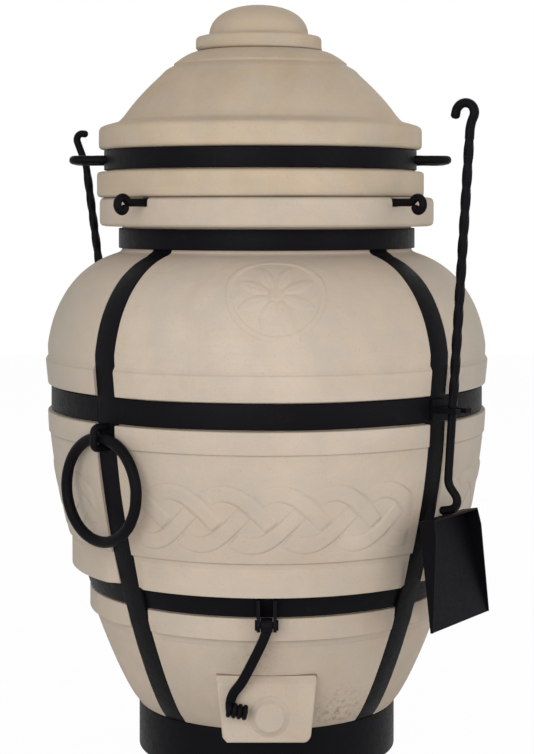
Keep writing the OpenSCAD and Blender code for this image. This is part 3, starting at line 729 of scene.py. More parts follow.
def ribbed_tree():
    """Ribs along the line from Start to End, over a core."""
    g = Grower("Ribbed grip", [("Start", "Vector", None), ("End", "Vector", None),
                               ("Ribs", "Int", 4), ("Radius", "Float", 0.0095),
                               ("Rib", "Float", 0.0034)])
    line = g.add("GeometryNodeCurvePrimitiveLine")
    g.link(g.start.outputs["Start"], line.inputs["Start"])
    g.link(g.start.outputs["End"], line.inputs["End"])
    spots = g.add("GeometryNodeCurveToPoints")
    spots.mode = "COUNT"
    g.link(line.outputs[0], spots.inputs["Curve"])
    g.link(g.start.outputs["Ribs"], spots.inputs["Count"])
    hoop = g.add("GeometryNodeCurvePrimitiveCircle")
    hoop.inputs["Resolution"].default_value = 36
    g.link(g.sum("SUBTRACT", g.start.outputs["Radius"], g.start.outputs["Rib"]),
           hoop.inputs["Radius"])
    wire = g.add("GeometryNodeCurvePrimitiveCircle")
    wire.inputs["Resolution"].default_value = 14
    g.link(g.start.outputs["Rib"], wire.inputs["Radius"])
    rib = g.add("GeometryNodeCurveToMesh")
    g.link(hoop.outputs[0], rib.inputs["Curve"])
    g.link(wire.outputs[0], rib.inputs["Profile Curve"])
    each = g.add("GeometryNodeInstanceOnPoints")
    g.link(spots.outputs["Points"], each.inputs["Points"])
    g.link(rib.outputs[0], each.inputs["Instance"])
    g.link(spots.outputs["Rotation"], each.inputs["Rotation"])
    core = g.add("GeometryNodeCurvePrimitiveCircle")
    core.inputs["Resolution"].default_value = 28
    g.link(g.sum("SUBTRACT", g.start.outputs["Radius"], g.start.outputs["Rib"]),
           core.inputs["Radius"])
    rod = g.add("GeometryNodeCurveToMesh")
    rod.inputs["Fill Caps"].default_value = True
    g.link(line.outputs[0], rod.inputs["Curve"])
    g.link(core.outputs[0], rod.inputs["Profile Curve"])
    both = g.add("GeometryNodeJoinGeometry")
    g.link(each.outputs[0], both.inputs[0])
    g.link(rod.outputs[0], both.inputs[0])
    return g.close(both.outputs[0], finish("forged iron"))


# ---------------------------------------------------------------- sizes and colours

class TandoorClay(bpy.types.PropertyGroup):
    """Colours and relief of the fired clay."""
    pot_pale: bpy.props.FloatVectorProperty(
        name="Pot, pale", description="Palest tone of the pot's clay",
        subtype="COLOR", size=3, min=0, max=1, default=(0.556, 0.462, 0.372))
    pot_deep: bpy.props.FloatVectorProperty(
        name="Pot, deep", description="Deepest tone of the pot's clay",
        subtype="COLOR", size=3, min=0, max=1, default=(0.462, 0.374, 0.290))
    # This grey marks the ash patches, and it also paints the shade on the flanks of the pot and the
    # lid.
    pot_grey: bpy.props.FloatVectorProperty(
        name="Ash grey and side shade", description="Greyer patches where ash has settled, and the painted shade on the flanks",
        subtype="COLOR", size=3, min=0, max=1, default=(0.408, 0.386, 0.342))
    lid_pale: bpy.props.FloatVectorProperty(
        name="Lid, pale", description="Palest tone of the lid's clay",
        subtype="COLOR", size=3, min=0, max=1, default=(0.545, 0.440, 0.325))
    lid_deep: bpy.props.FloatVectorProperty(
        name="Lid, deep", description="Deepest tone of the lid's clay",
        subtype="COLOR", size=3, min=0, max=1, default=(0.440, 0.342, 0.240))
    hand: bpy.props.FloatProperty(
        name="Hand of the thrower", description="How far the thrown clay strays inwards",
        unit="LENGTH", subtype="DISTANCE", min=0, max=0.002, default=0.0006)
    plait_height: bpy.props.FloatProperty(
        name="Plait relief", description="How far the plait stands out of its panel",
        unit="LENGTH", subtype="DISTANCE", min=0, max=0.003, default=0.0022)
    plait_repeat: bpy.props.FloatProperty(
        name="Plait repeat", description="Length along the belly of one full turn of a strand",
        unit="LENGTH", subtype="DISTANCE", min=0.1, max=0.4, default=0.190)
    rosette_height: bpy.props.FloatProperty(
        name="Rosette relief", description="How far the rosette stands out of the shoulder",
        unit="LENGTH", subtype="DISTANCE", min=0, max=0.003, default=0.0018)


class TandoorIron(bpy.types.PropertyGroup):
    """Colour, shine and thickness of the forged iron."""
    black: bpy.props.FloatVectorProperty(
        name="Black", description="Colour of the painted iron",
        subtype="COLOR", size=3, min=0, max=1, default=(0.0038, 0.0033, 0.0044))
    worn: bpy.props.FloatVectorProperty(
        name="Worn", description="Colour where the paint has rubbed thin",
        subtype="COLOR", size=3, min=0, max=1, default=(0.011, 0.0098, 0.0112))
    gloss: bpy.props.FloatProperty(
        name="Roughness", description="Roughness of the painted iron",
        subtype="FACTOR", min=0.1, max=1, default=0.52)
    hammer: bpy.props.FloatProperty(
        name="Hammer marks", description="How uneven the hammer left the straps",
        unit="LENGTH", subtype="DISTANCE", min=0, max=0.002, default=0.0008)
    twist: bpy.props.FloatProperty(
        name="Twist", description="Length of one full twist of the tools' square bar",
        unit="LENGTH", subtype="DISTANCE", min=0.02, max=0.2, default=0.110)
    ribs: bpy.props.IntProperty(
        name="Grip ribs", description="Ribs on the door latch's grip",
        min=2, max=8, default=4)


class TandoorStage(bpy.types.PropertyGroup):
    """Camera, lights and floor."""
    distance: bpy.props.FloatProperty(
        name="Camera distance", description="From the camera to the oven's axis",
        unit="LENGTH", subtype="DISTANCE", min=1, max=6, default=2.297)
    eye: bpy.props.FloatProperty(
        name="Camera height", description="Height of the level camera over the floor",
        unit="LENGTH", subtype="DISTANCE", min=0.1, max=2, default=0.6767)
    lens: bpy.props.FloatProperty(
        name="Lens", description="Focal length of the lens in millimetres",
        min=20, max=200, default=85.94)
    key: bpy.props.FloatProperty(
        name="Key light", description="Power of the large front light",
        unit="POWER", min=0, max=500, default=46.0)
    fill: bpy.props.FloatProperty(
        name="Surround", description="Strength of the even light from all round",
        min=0, max=2, default=0.47)


# ---------------------------------------------------------------- stage

def aimed_light(name, spot, target, size, power):
    """A square soft light at a spot, turned to its target."""
    lamp = bpy.data.lights.new(name, "AREA")
    lamp.shape = "SQUARE"
    lamp.size = size
    lamp.energy = power
    lamp_object = bpy.data.objects.new(name, lamp)
    lamp_object.location = spot
    lamp_object.rotation_euler = (Vector(target) - Vector(spot)).to_track_quat("-Z", "Y").to_euler()
    bpy.context.scene.collection.objects.link(lamp_object)
    return lamp_object


class TANDOOR_OT_stage(bpy.types.Operator):
    """Set the camera at the photograph's place, the soft lights and the pale floor"""
    bl_idname = "tandoor.stage"
    bl_label = "Stage"

    def execute(self, context):
        scene = context.scene
        look = scene.tandoor_stage
        camera = bpy.data.cameras.new("Camera")
        camera.lens = look.lens
        camera.sensor_width = 36.0
        camera.sensor_fit = "AUTO"
        picture_high, horizon_below_top_half = 754.0, 169.0
        camera.shift_y = -horizon_below_top_half / picture_high
        camera.clip_end = 50
        view = bpy.data.objects.new("Camera", camera)
        view.location = (0.0004, -look.distance, look.eye)
        view.rotation_euler = (math.pi / 2, 0, 0)
        scene.collection.objects.link(view)
        scene.camera = view
        aimed_light("Key light", (-0.9, -2.8, 1.15), (0, 0, 0.45), 2.2, look.key)
        aimed_light("Right light", (2.1, -1.6, 1.0), (0, 0, 0.45), 1.8, look.key * 0.40)
        aimed_light("Back light", (0.4, 2.4, 2.2), (0, 0, 0.5), 2.0, look.key * 0.35)
        world = bpy.data.worlds.new("Surround")
        scene.world = world
        world.use_nodes = True
        tree = world.node_tree
        sky = tree.nodes["Background"]
        sky.inputs["Color"].default_value = (1, 1, 1, 1)
        rays = tree.nodes.new("ShaderNodeLightPath")
        seen = self.seen(tree, rays)
        level = tree.nodes.new("ShaderNodeMapRange")
        level.inputs["To Min"].default_value = look.fill
        level.inputs["To Max"].default_value = 1.0
        tree.links.new(seen, level.inputs["Value"])
        tree.links.new(level.outputs["Result"], sky.inputs["Strength"])

        mesh = bpy.data.meshes.new("Floor")
        mesh.from_pydata([(-6, -6, 0), (6, -6, 0), (6, 6, 0), (-6, 6, 0)], [], [(0, 1, 2, 3)])
        floor = bpy.data.objects.new("Floor", mesh)
        scene.collection.objects.link(floor)
        paper = bpy.data.materials.new("White floor")
        paper.use_nodes = True
        tree = paper.node_tree
        base = tree.nodes["Principled BSDF"]
        base.inputs["Base Color"].default_value = (0.86, 0.86, 0.86, 1)
        base.inputs["Roughness"].default_value = 0.9
        glow = tree.nodes.new("ShaderNodeEmission")
        glow.inputs["Strength"].default_value = 1.0
        mix = tree.nodes.new("ShaderNodeMixShader")
        rays = tree.nodes.new("ShaderNodeLightPath")
        share = tree.nodes.new("ShaderNodeMath")
        share.operation = "MULTIPLY"
        share.inputs[1].default_value = 0.97
        tree.links.new(self.seen(tree, rays), share.inputs[0])
        tree.links.new(share.outputs[0], mix.inputs[0])
        tree.links.new(base.outputs[0], mix.inputs[1])
        tree.links.new(glow.outputs[0], mix.inputs[2])
        tree.links.new(mix.outputs[0], tree.nodes["Material Output"].inputs["Surface"])
        mesh.materials.append(paper)
        scene.view_settings.view_transform = "Standard"
        return {"FINISHED"}

    @staticmethod
    def seen(tree, rays):
        """1 for rays from the camera, or in a reflection or through glass."""
        total = rays.outputs["Is Camera Ray"]
        for name in ("Is Glossy Ray", "Is Transmission Ray"):
            most = tree.nodes.new("ShaderNodeMath")
            most.operation = "MAXIMUM"
            tree.links.new(total, most.inputs[0])
            tree.links.new(rays.outputs[name], most.inputs[1])
            total = most.outputs[0]
        return total


# ---------------------------------------------------------------- clay

def strap_path():
    """The straps' outer line: the skin, and round a small bend up the neck."""
    line = [p for p in SKIN if p[1] < 500 or p[0] > 195]
    bend = bezier([(194.5, 620.9), (187, 622.4), (NECK_R, 625), (NECK_R, 632)], 6)
    return line + bend[1:] + [(NECK_R, z) for z in (638, 644, 650.5)]


def strap_width(z):
    """Width of a strap at a height, drawn down to a tongue under the neck's band."""
    narrows_from, narrows_over = 588, 26
    return STRAP_WIDE + (TONGUE_WIDE - STRAP_WIDE) * eased((z - narrows_from) / narrows_over)


def channel_cutters(bearing):
    """The channel that one strap lies in, as two closed meshes."""
    rows = []
    path = strap_path()
    side_gap, back_gap, reach = 0.5, 0.3, 22
    for (r, z), normal in zip(path, normals_of(path)):
        if z > 625:
            break
        half = strap_width(z) / 2 + side_gap
        lift = held((z - 440) / 120)
        inner = Vector((r, z)) - normal * (IRON_THICK + back_gap)
        outer = inner + Vector((1, lift)).normalized() * reach
        row = []
        for q, w in ((inner, -half), (inner, half), (outer, half), (outer, -half)):
            across = math.sqrt(q.x * q.x - w * w)
            row.append(place(q.x, bearing + math.degrees(math.atan2(w, across)), q.y))
        rows.append(row)
    first = rows[0]
    rows.insert(0, [p - Vector((0, 0, 4 * MM)) for p in first])
    low = grid_mesh("channel", rows, False, True, True, True)
    rows = []
    deep, shallow, half = NECK_R - IRON_THICK - back_gap, 206, 16
    for z in (617, 651):
        row = []
        for r, w in ((deep, -half), (deep, half), (shallow, half), (shallow, -half)):
            row.append(place(math.hypot(r, w), bearing + math.degrees(math.atan2(w, r)), z))
        rows.append(row)
    high = grid_mesh("tongue", rows, False, True, True, True)
    return [low, high]


def plate_outline(grow, high, foot=58):
    """Outline of the ash door's plate in (x, z), seen from the front."""
    low = foot - grow
    corners = [(-46.5 - grow, low, 3), (46.5 + grow, low, 3), (51.5 + grow, low + 6, 3),
               (58.5 + grow, high, 3), (-58.5 - grow, high, 3), (-51.5 - grow, low + 6, 3)]
    return rounded(corners, 3, 3)


def plug_outline(grow):
    """Outline of the door's plug, an opening with round corners."""
    w, low, high = 44 + grow, 66 - grow, 124 + grow
    return rounded([(-w, low), (w, low), (w, high), (-w, high)], 9, 5)


class TANDOOR_OT_clay_pot(bpy.types.Operator):
    """Throw the clay pot with its belts, chamber, strap channels, rim notches and door hole"""
    bl_idname = "tandoor.clay_pot"
    bl_label = "Clay pot"

    def execute(self, context):
        foot_r, mouth_r, ledge_r, pit_top_r, pit_r, hearth = 156.7, 140, 134.5, 124, 112, 45
        corners = [(0, 0), (foot_r, 0, 1.5), (foot_r, BASE_TOP, 0)]
        for low, high, radius, out in BELTS:
            corners += belt(low, high, radius, out, 1.8)
        shoulder_from = BELTS[-1][1] + 1
        corners += [(r, z, 1.0) for r, z in SKIN if z > shoulder_from and r > 190]
        corners += [(186, 622.3, 1), (NECK_R, 625.5, 2), (NECK_R, 654, 2)]
        corners += [(RIM_R, 654, 7), (RIM_R, RIM_TOP, 7), (mouth_r, RIM_TOP, 7)]
        corners += bezier([(mouth_r, 612), (185, 586), (229, 548), (231.5, WIDEST_Z)], 16)
        corners += [(skin_radius(z) - WALL, z) for z in range(488, 208, -18)]
        corners += [(skin_radius(200) - WALL, 200), (ledge_r, 161, 2), (ledge_r, GRATE_LEDGE, 1),
                    (pit_top_r, GRATE_LEDGE, 4), (pit_r, hearth, 14), (0, hearth)]
        hand = context.scene.tandoor_clay.hand / MM
        pot = turned("clay_pot", rounded(corners, 3, 3), 320, 0, hand, 3.0, beside_strap)
        cutters = []
        for bearing in STRAP_BEARINGS.values():
            cutters += channel_cutters(bearing)
        for turn in CROSS_TURNS:
            notch = box_mesh("notch", (-220, -5.5, 678), (220, 5.5, 700))
            spin = math.radians(turn)
            for v in notch.vertices:
                x, y = v.co.x, v.co.y
                v.co.x = x * math.cos(spin) - y * math.sin(spin)
                v.co.y = x * math.sin(spin) + y * math.cos(spin)
            cutters.append(notch)
        cutters.append(prism_mesh("door seat", plate_outline(0.5, 132.4), 183.5, 235))
        cutters.append(prism_mesh("door hole", plug_outline(0.3), 60, 200))
        pot = cut(pot, cutters)
        finish_mesh("pot", pot, "oven", finish("pot clay"), ("clay_pot",), crease=32)
        return {"FINISHED"}


def plait_face(x, y, repeat, rise):
    """Height of a three-strand plait, and how deep in a groove between strands, from 0 to 1, which
    also sets the painted shade in the grooves.
    """
    swing, half, groove_wide = 30.5, 10.5, 1.8
    strands = []
    for k in range(3):
        phase = 2 * math.pi * (x / repeat + k / 3)
        gap = y - swing * math.sin(phase)
        slope = swing * math.cos(phase) * 2 * math.pi / repeat
        foot = phase + 2 * math.pi / repeat * gap * slope / (1 + slope * slope)
        away = abs(gap) / math.sqrt(1 + slope * slope)
        # Painted shade: grooves along rising strands get more shade than grooves along falling
        # ones, by the way the light falls.
        strands.append((-math.sin(2 * foot), away, 0.68 + 0.32 * math.cos(phase)))
    strands.sort(reverse=True)
    height, groove = 0.0, 0.0
    for level, away, rising_shade in strands:
        dip = math.exp(-((away - half) / groove_wide) ** 2)
        groove = max(groove, dip * (0.6 + 0.4 * level) * rising_shade)
        if away < half:
            height = rise * (0.66 + 0.34 * level) * (1 - (away / half) ** 4) ** 0.5
            break
    return height, groove


class TANDOOR_OT_plait(bpy.types.Operator):
    """Press the plaited relief into the four panels between the straps"""
    bl_idname = "tandoor.plait"
    bl_label = "Plaited panels"

    def execute(self, context):
        names = (("plait_front", -43, 47), ("plait_right", 47, 137),
                 ("plait_back", 137, 227), ("plait_left", 227, 317))
        for name, start, end in names:
            face = self.panel(context.scene.tandoor_clay, name, start, end)
            finish_mesh(name, face, "oven", finish("pot clay"), crease=60)
        return {"FINISHED"}

    @staticmethod
    def panel(clay, name, start, end):
        """One closed panel between two bearings, with the depth of its grooves stored for the
        painted shade in them.
        """
        repeat = clay.plait_repeat / MM
        rise = clay.plait_height / MM
        first, last, low_z, high_z = start + 4.2, end - 4.2, 273.0, 396.0
        step, line_wide, plain = 1.35, 2.6, 12
        frame_top, frame_side, plait_z, plait_x = 381.5, 9, 323, 30
        columns = int(math.radians(last - first) * BASE_LINE_R / step)
        count = int((high_z - low_z) / step)
        rows, painted_groove_shade = [], []
        for i in range(count + 1):
            z = low_z + (high_z - low_z) * i / count
            row = []
            for j in range(columns + 1):
                bearing = first + (last - first) * j / columns
                x = math.radians(bearing - start - 43) * BASE_LINE_R
                side = min(bearing - first, last - bearing) * 4.6
                edge = min((z - low_z) / 4, (high_z - z) / 4, 1.0, side / 5)
                height, groove = plait_face(x - plait_x, z - plait_z, repeat, rise)
                groove *= held((side - plain) / 10)
                height *= held((side - plain) / 10)
                frame_line = math.exp(-((z - frame_top) / line_wide) ** 2) * 0.5
                if z < frame_top + 2.5:
                    frame_line += math.exp(-((side - frame_side) / line_wide) ** 2) * 0.5
                worn = 0.8 + 0.4 * noise.noise(Vector((x * 0.03, z * 0.03, 7)))
                groove = max(groove * worn, frame_line * 0.6)
                relief = 0.30 + height * worn - groove * 0.9
                row.append(place(skin_radius(z) + 2.25 + held(edge) * relief, bearing, z))
                # The groove's depth is kept as painted shade, which the clay's finish darkens.
                painted_groove_shade.append(groove)
            rows.append(row)
        rows = [[place(skin_radius(low_z) - 1, first + (last - first) * j / columns, low_z)
                 for j in range(columns + 1)]] + rows
        rows.append([place(skin_radius(high_z) - 1, first + (last - first) * j / columns, high_z)
                     for j in range(columns + 1)])
        face = grid_mesh(name, rows, True, False)
        wide = columns + 1
        painted_groove_shade = [0.0] * wide + painted_groove_shade + [0.0] * wide
        layer = face.attributes.new("groove", "FLOAT", "POINT")
        layer.data.foreach_set("value", painted_groove_shade)
        work = bmesh.new()
        work.from_mesh(face)
        work.verts.ensure_lookup_table()
        work.faces.new([work.verts[i * wide] for i in range(len(rows))])
        work.faces.new([work.verts[i * wide + columns] for i in reversed(range(len(rows)))])
        work.to_mesh(face)
        work.free()
        return face


def rosette_height(u, v, rise):
    """Height of an eight-petal rosette in a ring, at u, v from its centre."""
    ring_r, ring_half, eye_r, petal_from, petal_to, petal_half = 55, 4.2, 9.5, 10, 47, 9.2
    one_petal = math.pi / 4
    radius = math.hypot(u, v)
    angle = math.atan2(v, u)
    h = 0.0
    ring = 1 - ((radius - ring_r) / ring_half) ** 2
    if ring > 0:
        h = max(h, 0.75 * rise * math.sqrt(ring))
    if radius < eye_r:
        h = max(h, rise * math.sqrt(1 - (radius / eye_r) ** 2))
    petal = (angle / one_petal) % 1.0 - 0.5
    across = radius * math.sin(abs(petal) * math.pi / 4)
    along = radius * math.cos(petal * math.pi / 4)
    if petal_from < along < petal_to:
        t = (along - petal_from) / (petal_to - petal_from)
        half = petal_half * math.sin(math.pi * min(t * 0.92 + 0.06, 1)) ** 0.75
        if across < half:
            side = across / half
            h = max(h, rise * (1 - side ** 2.5) * (0.86 - 0.25 * math.exp(-(across / 1.3) ** 2)))
    return h


def shoulder_point(travel):
    """Radius, height and outward normal on the shoulder, by arc length from its lowest."""
    for a, b in zip(SHOULDER_SKIN, SHOULDER_SKIN[1:]):
        a, b = Vector(a), Vector(b)
        step = (b - a).length
        if travel <= step:
            along = (b - a).normalized()
            return a + along * travel, Vector((along.y, -along.x))
        travel -= step
    return Vector(SHOULDER_SKIN[-1]), Vector((0, 1))


class TANDOOR_OT_rosette(bpy.types.Operator):
    """Press a plain eight-petal rosette into the front of the shoulder"""
    bl_idname = "tandoor.rosette"
    bl_label = "Shoulder rosette"

    def execute(self, context):
        rise = context.scene.tandoor_clay.rosette_height / MM
        turn, middle = 2.5, 78.0
        rings, spokes, disc_r = 60, 128, 62.0
        rows = []
        for i in range(rings + 1):
            radius = disc_r * i / rings
            row = []
            for k in range(spokes):
                angle = 2 * math.pi * k / spokes
                u, v = radius * math.cos(angle), radius * math.sin(angle)
                point, out = shoulder_point(middle + v)
                height = rosette_height(u, v, rise)
                edge = min((disc_r - radius) / 4, 1)
                wear = 0.85 + 0.3 * noise.noise(Vector((u * 0.05, v * 0.05, 2)))
                q = point + out * (-0.9 + edge * (0.45 + height * wear))
                row.append(place(q.x, turn + math.degrees(u / point.x), q.y))
            rows.append(row)
        under = []
        for radius in (disc_r, 0.0):
            row = []
            for k in range(spokes):
                angle = 2 * math.pi * k / spokes
                point, out = shoulder_point(middle + radius * math.sin(angle))
                q = point - out * 6
                row.append(place(q.x, turn + math.degrees(radius * math.cos(angle) / point.x),
                                 q.y))
            under.append(row)
        mesh = grid_mesh("rosette", rows + under, False, True)
        finish_mesh("rosette", mesh, "oven", finish("pot clay"), crease=50)
        return {"FINISHED"}


class TANDOOR_OT_ash_door(bpy.types.Operator):
    """Model the clay ash door with its plug and round boss"""
    bl_idname = "tandoor.ash_door"
    bl_label = "Ash door"

    def execute(self, context):
        rows = []
        for y, inset, top in ((184, 1.2, 131.8), (185.2, 0, 131.8), (199, 0, 131.4),
                              (201.5, 0, 127.8), (203.8, 0.5, 124.8), (204.8, 1.7, 123.4),
                              (205, 3.2, 122.4)):
            rows.append([Vector((x, -y, z)) * MM for x, z in plate_outline(-inset, top, 54.5)])
        plate = grid_mesh("plate", rows, False, True, True, True)
        plug = [[Vector((x, -y, z)) * MM for x, z in plug_outline(-inset)]
                for y, inset in ((120, 3), (123, 0.6), (126, 0), (185, 0))]
        plug = grid_mesh("plug", plug, False, True, True, True)
        profile = rounded([(0, -2), (23.8, -2, 0.5), (23.5, 0.5, 0.5), (19.8, 2.6, 3),
                           (16.2, 6.2, 5), (0, 7)], 2, 6)
        boss_x, boss_z, sides = 3.4, 85.2, 72
        rows = []
        for k in range(sides):
            a = 2 * math.pi * k / sides
            rows.append([Vector((boss_x + r * math.cos(a), -DOOR_FACE - d,
                                 boss_z + r * math.sin(a))) * MM for r, d in profile])
        boss = grid_mesh("boss", rows, True, False)
        door = joined("ash_door", [plate, plug, boss])
        finish_mesh("door", door, "door", finish("pot clay"), ("ash_door",), 40)
        return {"FINISHED"}


class TANDOOR_OT_lid(bpy.types.Operator):
    """Throw the domed lid and its cap, with the iron band and the two side handles"""
    bl_idname = "tandoor.lid"
    bl_label = "Lid"

    def execute(self, context):
        hand = context.scene.tandoor_clay.hand / MM
        low_belt_r, waist_r, high_belt_r = 208, 194.6, 205.6
        corners = [(150, RIM_TOP), (low_belt_r, RIM_TOP, 6), (low_belt_r, 722, 8), (199, 723, 3),
                   (waist_r, 724, 1), (waist_r, 750, 1), (high_belt_r, 751, 5),
                   (high_belt_r, 778, 6), (196, 781.5, 4), (181, 785.5, 4)]
        start, end, bulge = Vector((179, 786)), Vector((110, 859)), 4
        side = Vector((end.y - start.y, start.x - end.x)).normalized()
        for i in range(1, 10):
            t = i / 12
            q = start + (end - start) * t + side * bulge * t * (1 - t) * 4
            corners.append((q.x, q.y, 1.5))
        corners += [(121.0, 851.6, 4), (111.8, 856.5, 1.5), (110.0, 857.8, 0.8),
                    (110.7, 859.6, 2.0), (101.0, 867.0, 6), (90.0, 873.2, 5), (81.3, 875.4, 2),
                    (78.3, 876, 1), (35, 876, 2), (35, 842, 3)]
        start, end, bulge = Vector((49, 838)), Vector((150, 724)), 14
        side = Vector((start.y - end.y, end.x - start.x)).normalized()
        for i in range(1, 10):
            t = i / 9
            q = start + (end - start) * t + side * bulge * 4 * t * (1 - t)
            corners.append((q.x, q.y))
        shell = turned("lid_shell", rounded(corners, 2, 3), 224, LID_SHIFT, hand, 11.0)
        finish_mesh("lid", shell, "lid", finish("lid clay"), ("lid_shell",), 34)

        spigot_r, flange_r = 34.3, 80.3
        corners = [(0, 867.3), (32.5, 867.3, 1), (spigot_r, 870.3, 1), (spigot_r, SPIGOT_TOP, 0.4),
                   (flange_r, SPIGOT_TOP, 4), (flange_r, 894.3, 6), (70, 895, 2), (67.5, 895.3, 1)]
        corners += bezier([(63.5, 898.3), (61.5, 923), (34.9, 935.3), (0, 935.3)], 18)
        cap = turned("lid_cap", rounded(corners, 1, 3), 160, LID_SHIFT, hand * 0.6, 5.0)
        for v in cap.vertices:
            v.co.x += CAP_SHIFT * MM * held((v.co.z / MM - SPIGOT_TOP) / 4)
        finish_mesh("cap", cap, "cap", finish("lid clay"), ("lid_cap",), 34)

        section = rounded([(194.9, 724.5), (198.9, 724.5), (198.9, 749.5), (194.9, 749.5)], 1.1, 3)
        band = turned("lid_band", section, 192, LID_SHIFT, 0.25, 9.0)
        finish_mesh("band_lid", band, "lid", finish("forged iron"), ("lid_band",), 50)

        start, reach, bend, wide = 190.0, 235.4, 14.0, 84.0
        steps = [("run", reach - bend - start), ("bend", bend, 90), ("run", wide - 2 * bend),
                 ("bend", bend, 90), ("run", reach - bend - start)]
        line = walk(steps)
        for name, node, side in (("handle_right", "lid_handle_right", 1),
                                 ("handle_left", "lid_handle_left", -1)):
            path = [Vector((side * (start + p.x) + LID_SHIFT, side * (p.y - wide / 2), 737))
                    for p in line]
            bar = round_bar(name, path, 5.5, 24, False, 0.05)
            finish_mesh(name, bar, "lid", finish("forged iron"), (node,), 60)
        return {"FINISHED"}


# ---------------------------------------------------------------- iron

class TANDOOR_OT_iron_cage(bpy.types.Operator):
    """Forge the four straps, the three bands and the base ring"""
    bl_idname = "tandoor.iron_cage"
    bl_label = "Iron cage"

    def execute(self, context):
        hammer = context.scene.tandoor_iron.hammer / MM
        iron = finish("forged iron")
        fine = []
        path = strap_path()
        for a, b in zip(path, path[1:]):
            fine += [a, ((a[0] + b[0]) / 2, (a[1] + b[1]) / 2)]
        fine.append(path[-1])
        for node, bearing in STRAP_BEARINGS.items():
            strap = strap_mesh(node, fine, bearing, IRON_THICK, 1.1, hammer)
            finish_mesh(node.replace("strap_", "iron_strap_"), strap, "oven", iron,
                        (node,), 50)
        inner, outer, top = 157, 162, 57
        section = rounded([(inner, 0), (outer, 0), (outer, top), (inner, top)], 1.2, 3)
        ring = turned("base_ring", section, 192, 0, 0.5, 1.0)
        finish_mesh("ring_base", ring, "oven", iron, ("base_ring",), 50)
        inner, foot, top = 184.3, 626.5, 651.5
        outer = inner + IRON_THICK
        section = rounded([(inner, foot), (outer, foot), (outer, top), (inner, top)], 1.1, 3)
        neck = turned("neck_band", section, 192, 0, 0.3, 2.0)
        finish_mesh("band_neck", neck, "oven", iron, ("neck_band",), 50)
        part = [p for p in LOWER_SKIN if 196 < p[1] < 240]
        depth, foot, top = IRON_THICK + 0.3, 205, 230
        normals = normals_of(part)
        face = self.trim([Vector(p) - n * depth for p, n in zip(part, normals)], foot, top)
        back = self.trim([Vector(p) - n * (depth + IRON_THICK) for p, n in zip(part, normals)],
                         foot, top)
        section = rounded([tuple(p) for p in back] + [tuple(p) for p in face[::-1]], 1.0, 3)
        low = turned("lower_band", section, 192, 0, 0.2, 4.0)
        finish_mesh("band_lower", low, "oven", iron, ("lower_band",), 50)
        arcs = []
        bearings = sorted(STRAP_BEARINGS.values())
        inner, outer, foot, top, steps = 268.7, 272.7, 426, 456, 60
        section = rounded([(inner, foot), (outer, foot), (outer, top), (inner, top)], 1.1, 3)
        gap = math.degrees(math.asin(16.85 / 271))
        for i, start in enumerate(bearings):
            end = bearings[(i + 1) % 4] + (360 if i == 3 else 0)
            rows = []
            for k in range(steps + 1):
                bearing = start + gap + (end - start - 2 * gap) * k / steps
                rows.append([place(r, bearing, z + 0.5 * noise.noise(
                    Vector((bearing * 0.05, z * 0.01, i)))) for r, z in section])
            arcs.append(grid_mesh("arc", rows, False, True, True, True))
        finish_mesh("band_middle", joined("middle_band", arcs), "oven", iron,
                    ("middle_band",), 50)
        return {"FINISHED"}

    @staticmethod
    def trim(points, low, high):
        """The part of a rising line between two heights, ends included."""
        out = []
        for a, b in zip(points, points[1:]):
            for z in (low, high):
                if a.y <= z < b.y:
                    out.append(a + (b - a) * (z - a.y) / (b.y - a.y))
            if low < b.y < high:
                out.append(b)
        return out


class TANDOOR_OT_carrying_rings(bpy.types.Operator):
    """Forge the two carrying rings and the staples that hold them"""
    bl_idname = "tandoor.carrying_rings"
    bl_label = "Carrying rings"

    def execute(self, context):
        iron = finish("forged iron")
        leg, bend, middle_z, ring_at, ring_z, ring_r, sides = 24, 6, 398, 282.6, 349.1, 60.2, 96
        line = walk([("run", leg), ("bend", bend, 90), ("run", 12), ("bend", bend, 90),
                     ("run", leg)], 1.5)
        for side, bearing, body in (("front_left", -43, "carry_ring_left"),
                                    ("back_right", 137, "carry_ring_right")):
            out = place(1, bearing, 0) / MM
            path = [out * (293.4 - bend - leg + p.x) + Vector((0, 0, middle_z + p.y))
                    for p in line]
            bar = round_bar("staple", path, 4.5, 22)
            finish_mesh("staple_of_" + side, bar, "oven", iron,
                        ("staple_" + side,), 60)
            up = Vector((0, 0, 1))
            across = up.cross(out)
            path = []
            for k in range(sides):
                a = 2 * math.pi * k / sides
                path.append(out * ring_at + up * ring_z
                            + (across * math.cos(a) + up * math.sin(a)) * ring_r)
            ring = round_bar("ring", path, 6.6, 24, True, 0.05)
            finish_mesh("carrying_ring_" + side, ring, body, iron,
                        ("ring_" + side,), 60)
        return {"FINISHED"}


class TANDOOR_OT_hanging_cross(bpy.types.Operator):
    """Forge the two crossed bars with curled ends that lie in the rim"""
    bl_idname = "tandoor.hanging_cross"
    bl_label = "Hanging cross"

    def execute(self, context):
        bars = []
        bar_z, arm = 683.3, 234
        for turn, radius in zip(CROSS_TURNS, (5.0, 4.8)):
            curl = walk([("bend", 8, 50), ("bend", 8.1, -215), ("bend", 4.9, -105)], 1.6)
            half = [Vector((x, 0, 0)) for x in range(0, arm, 13)]
            half += [Vector((arm + p.x, 0, p.y)) for p in curl]
            whole = [Vector((-p.x, 0, p.z)) for p in reversed(half[1:])] + half
            spin = math.radians(turn)
            path = [Vector((p.x * math.cos(spin), p.x * math.sin(spin), p.z + bar_z))
                    for p in whole]
            bars.append(round_bar("bar", path, radius, 22, False, 0.04))
        finish_mesh("cross", joined("hanging_cross", bars), "cross",
                    finish("forged iron"), ("hanging_cross",), 60)
        return {"FINISHED"}


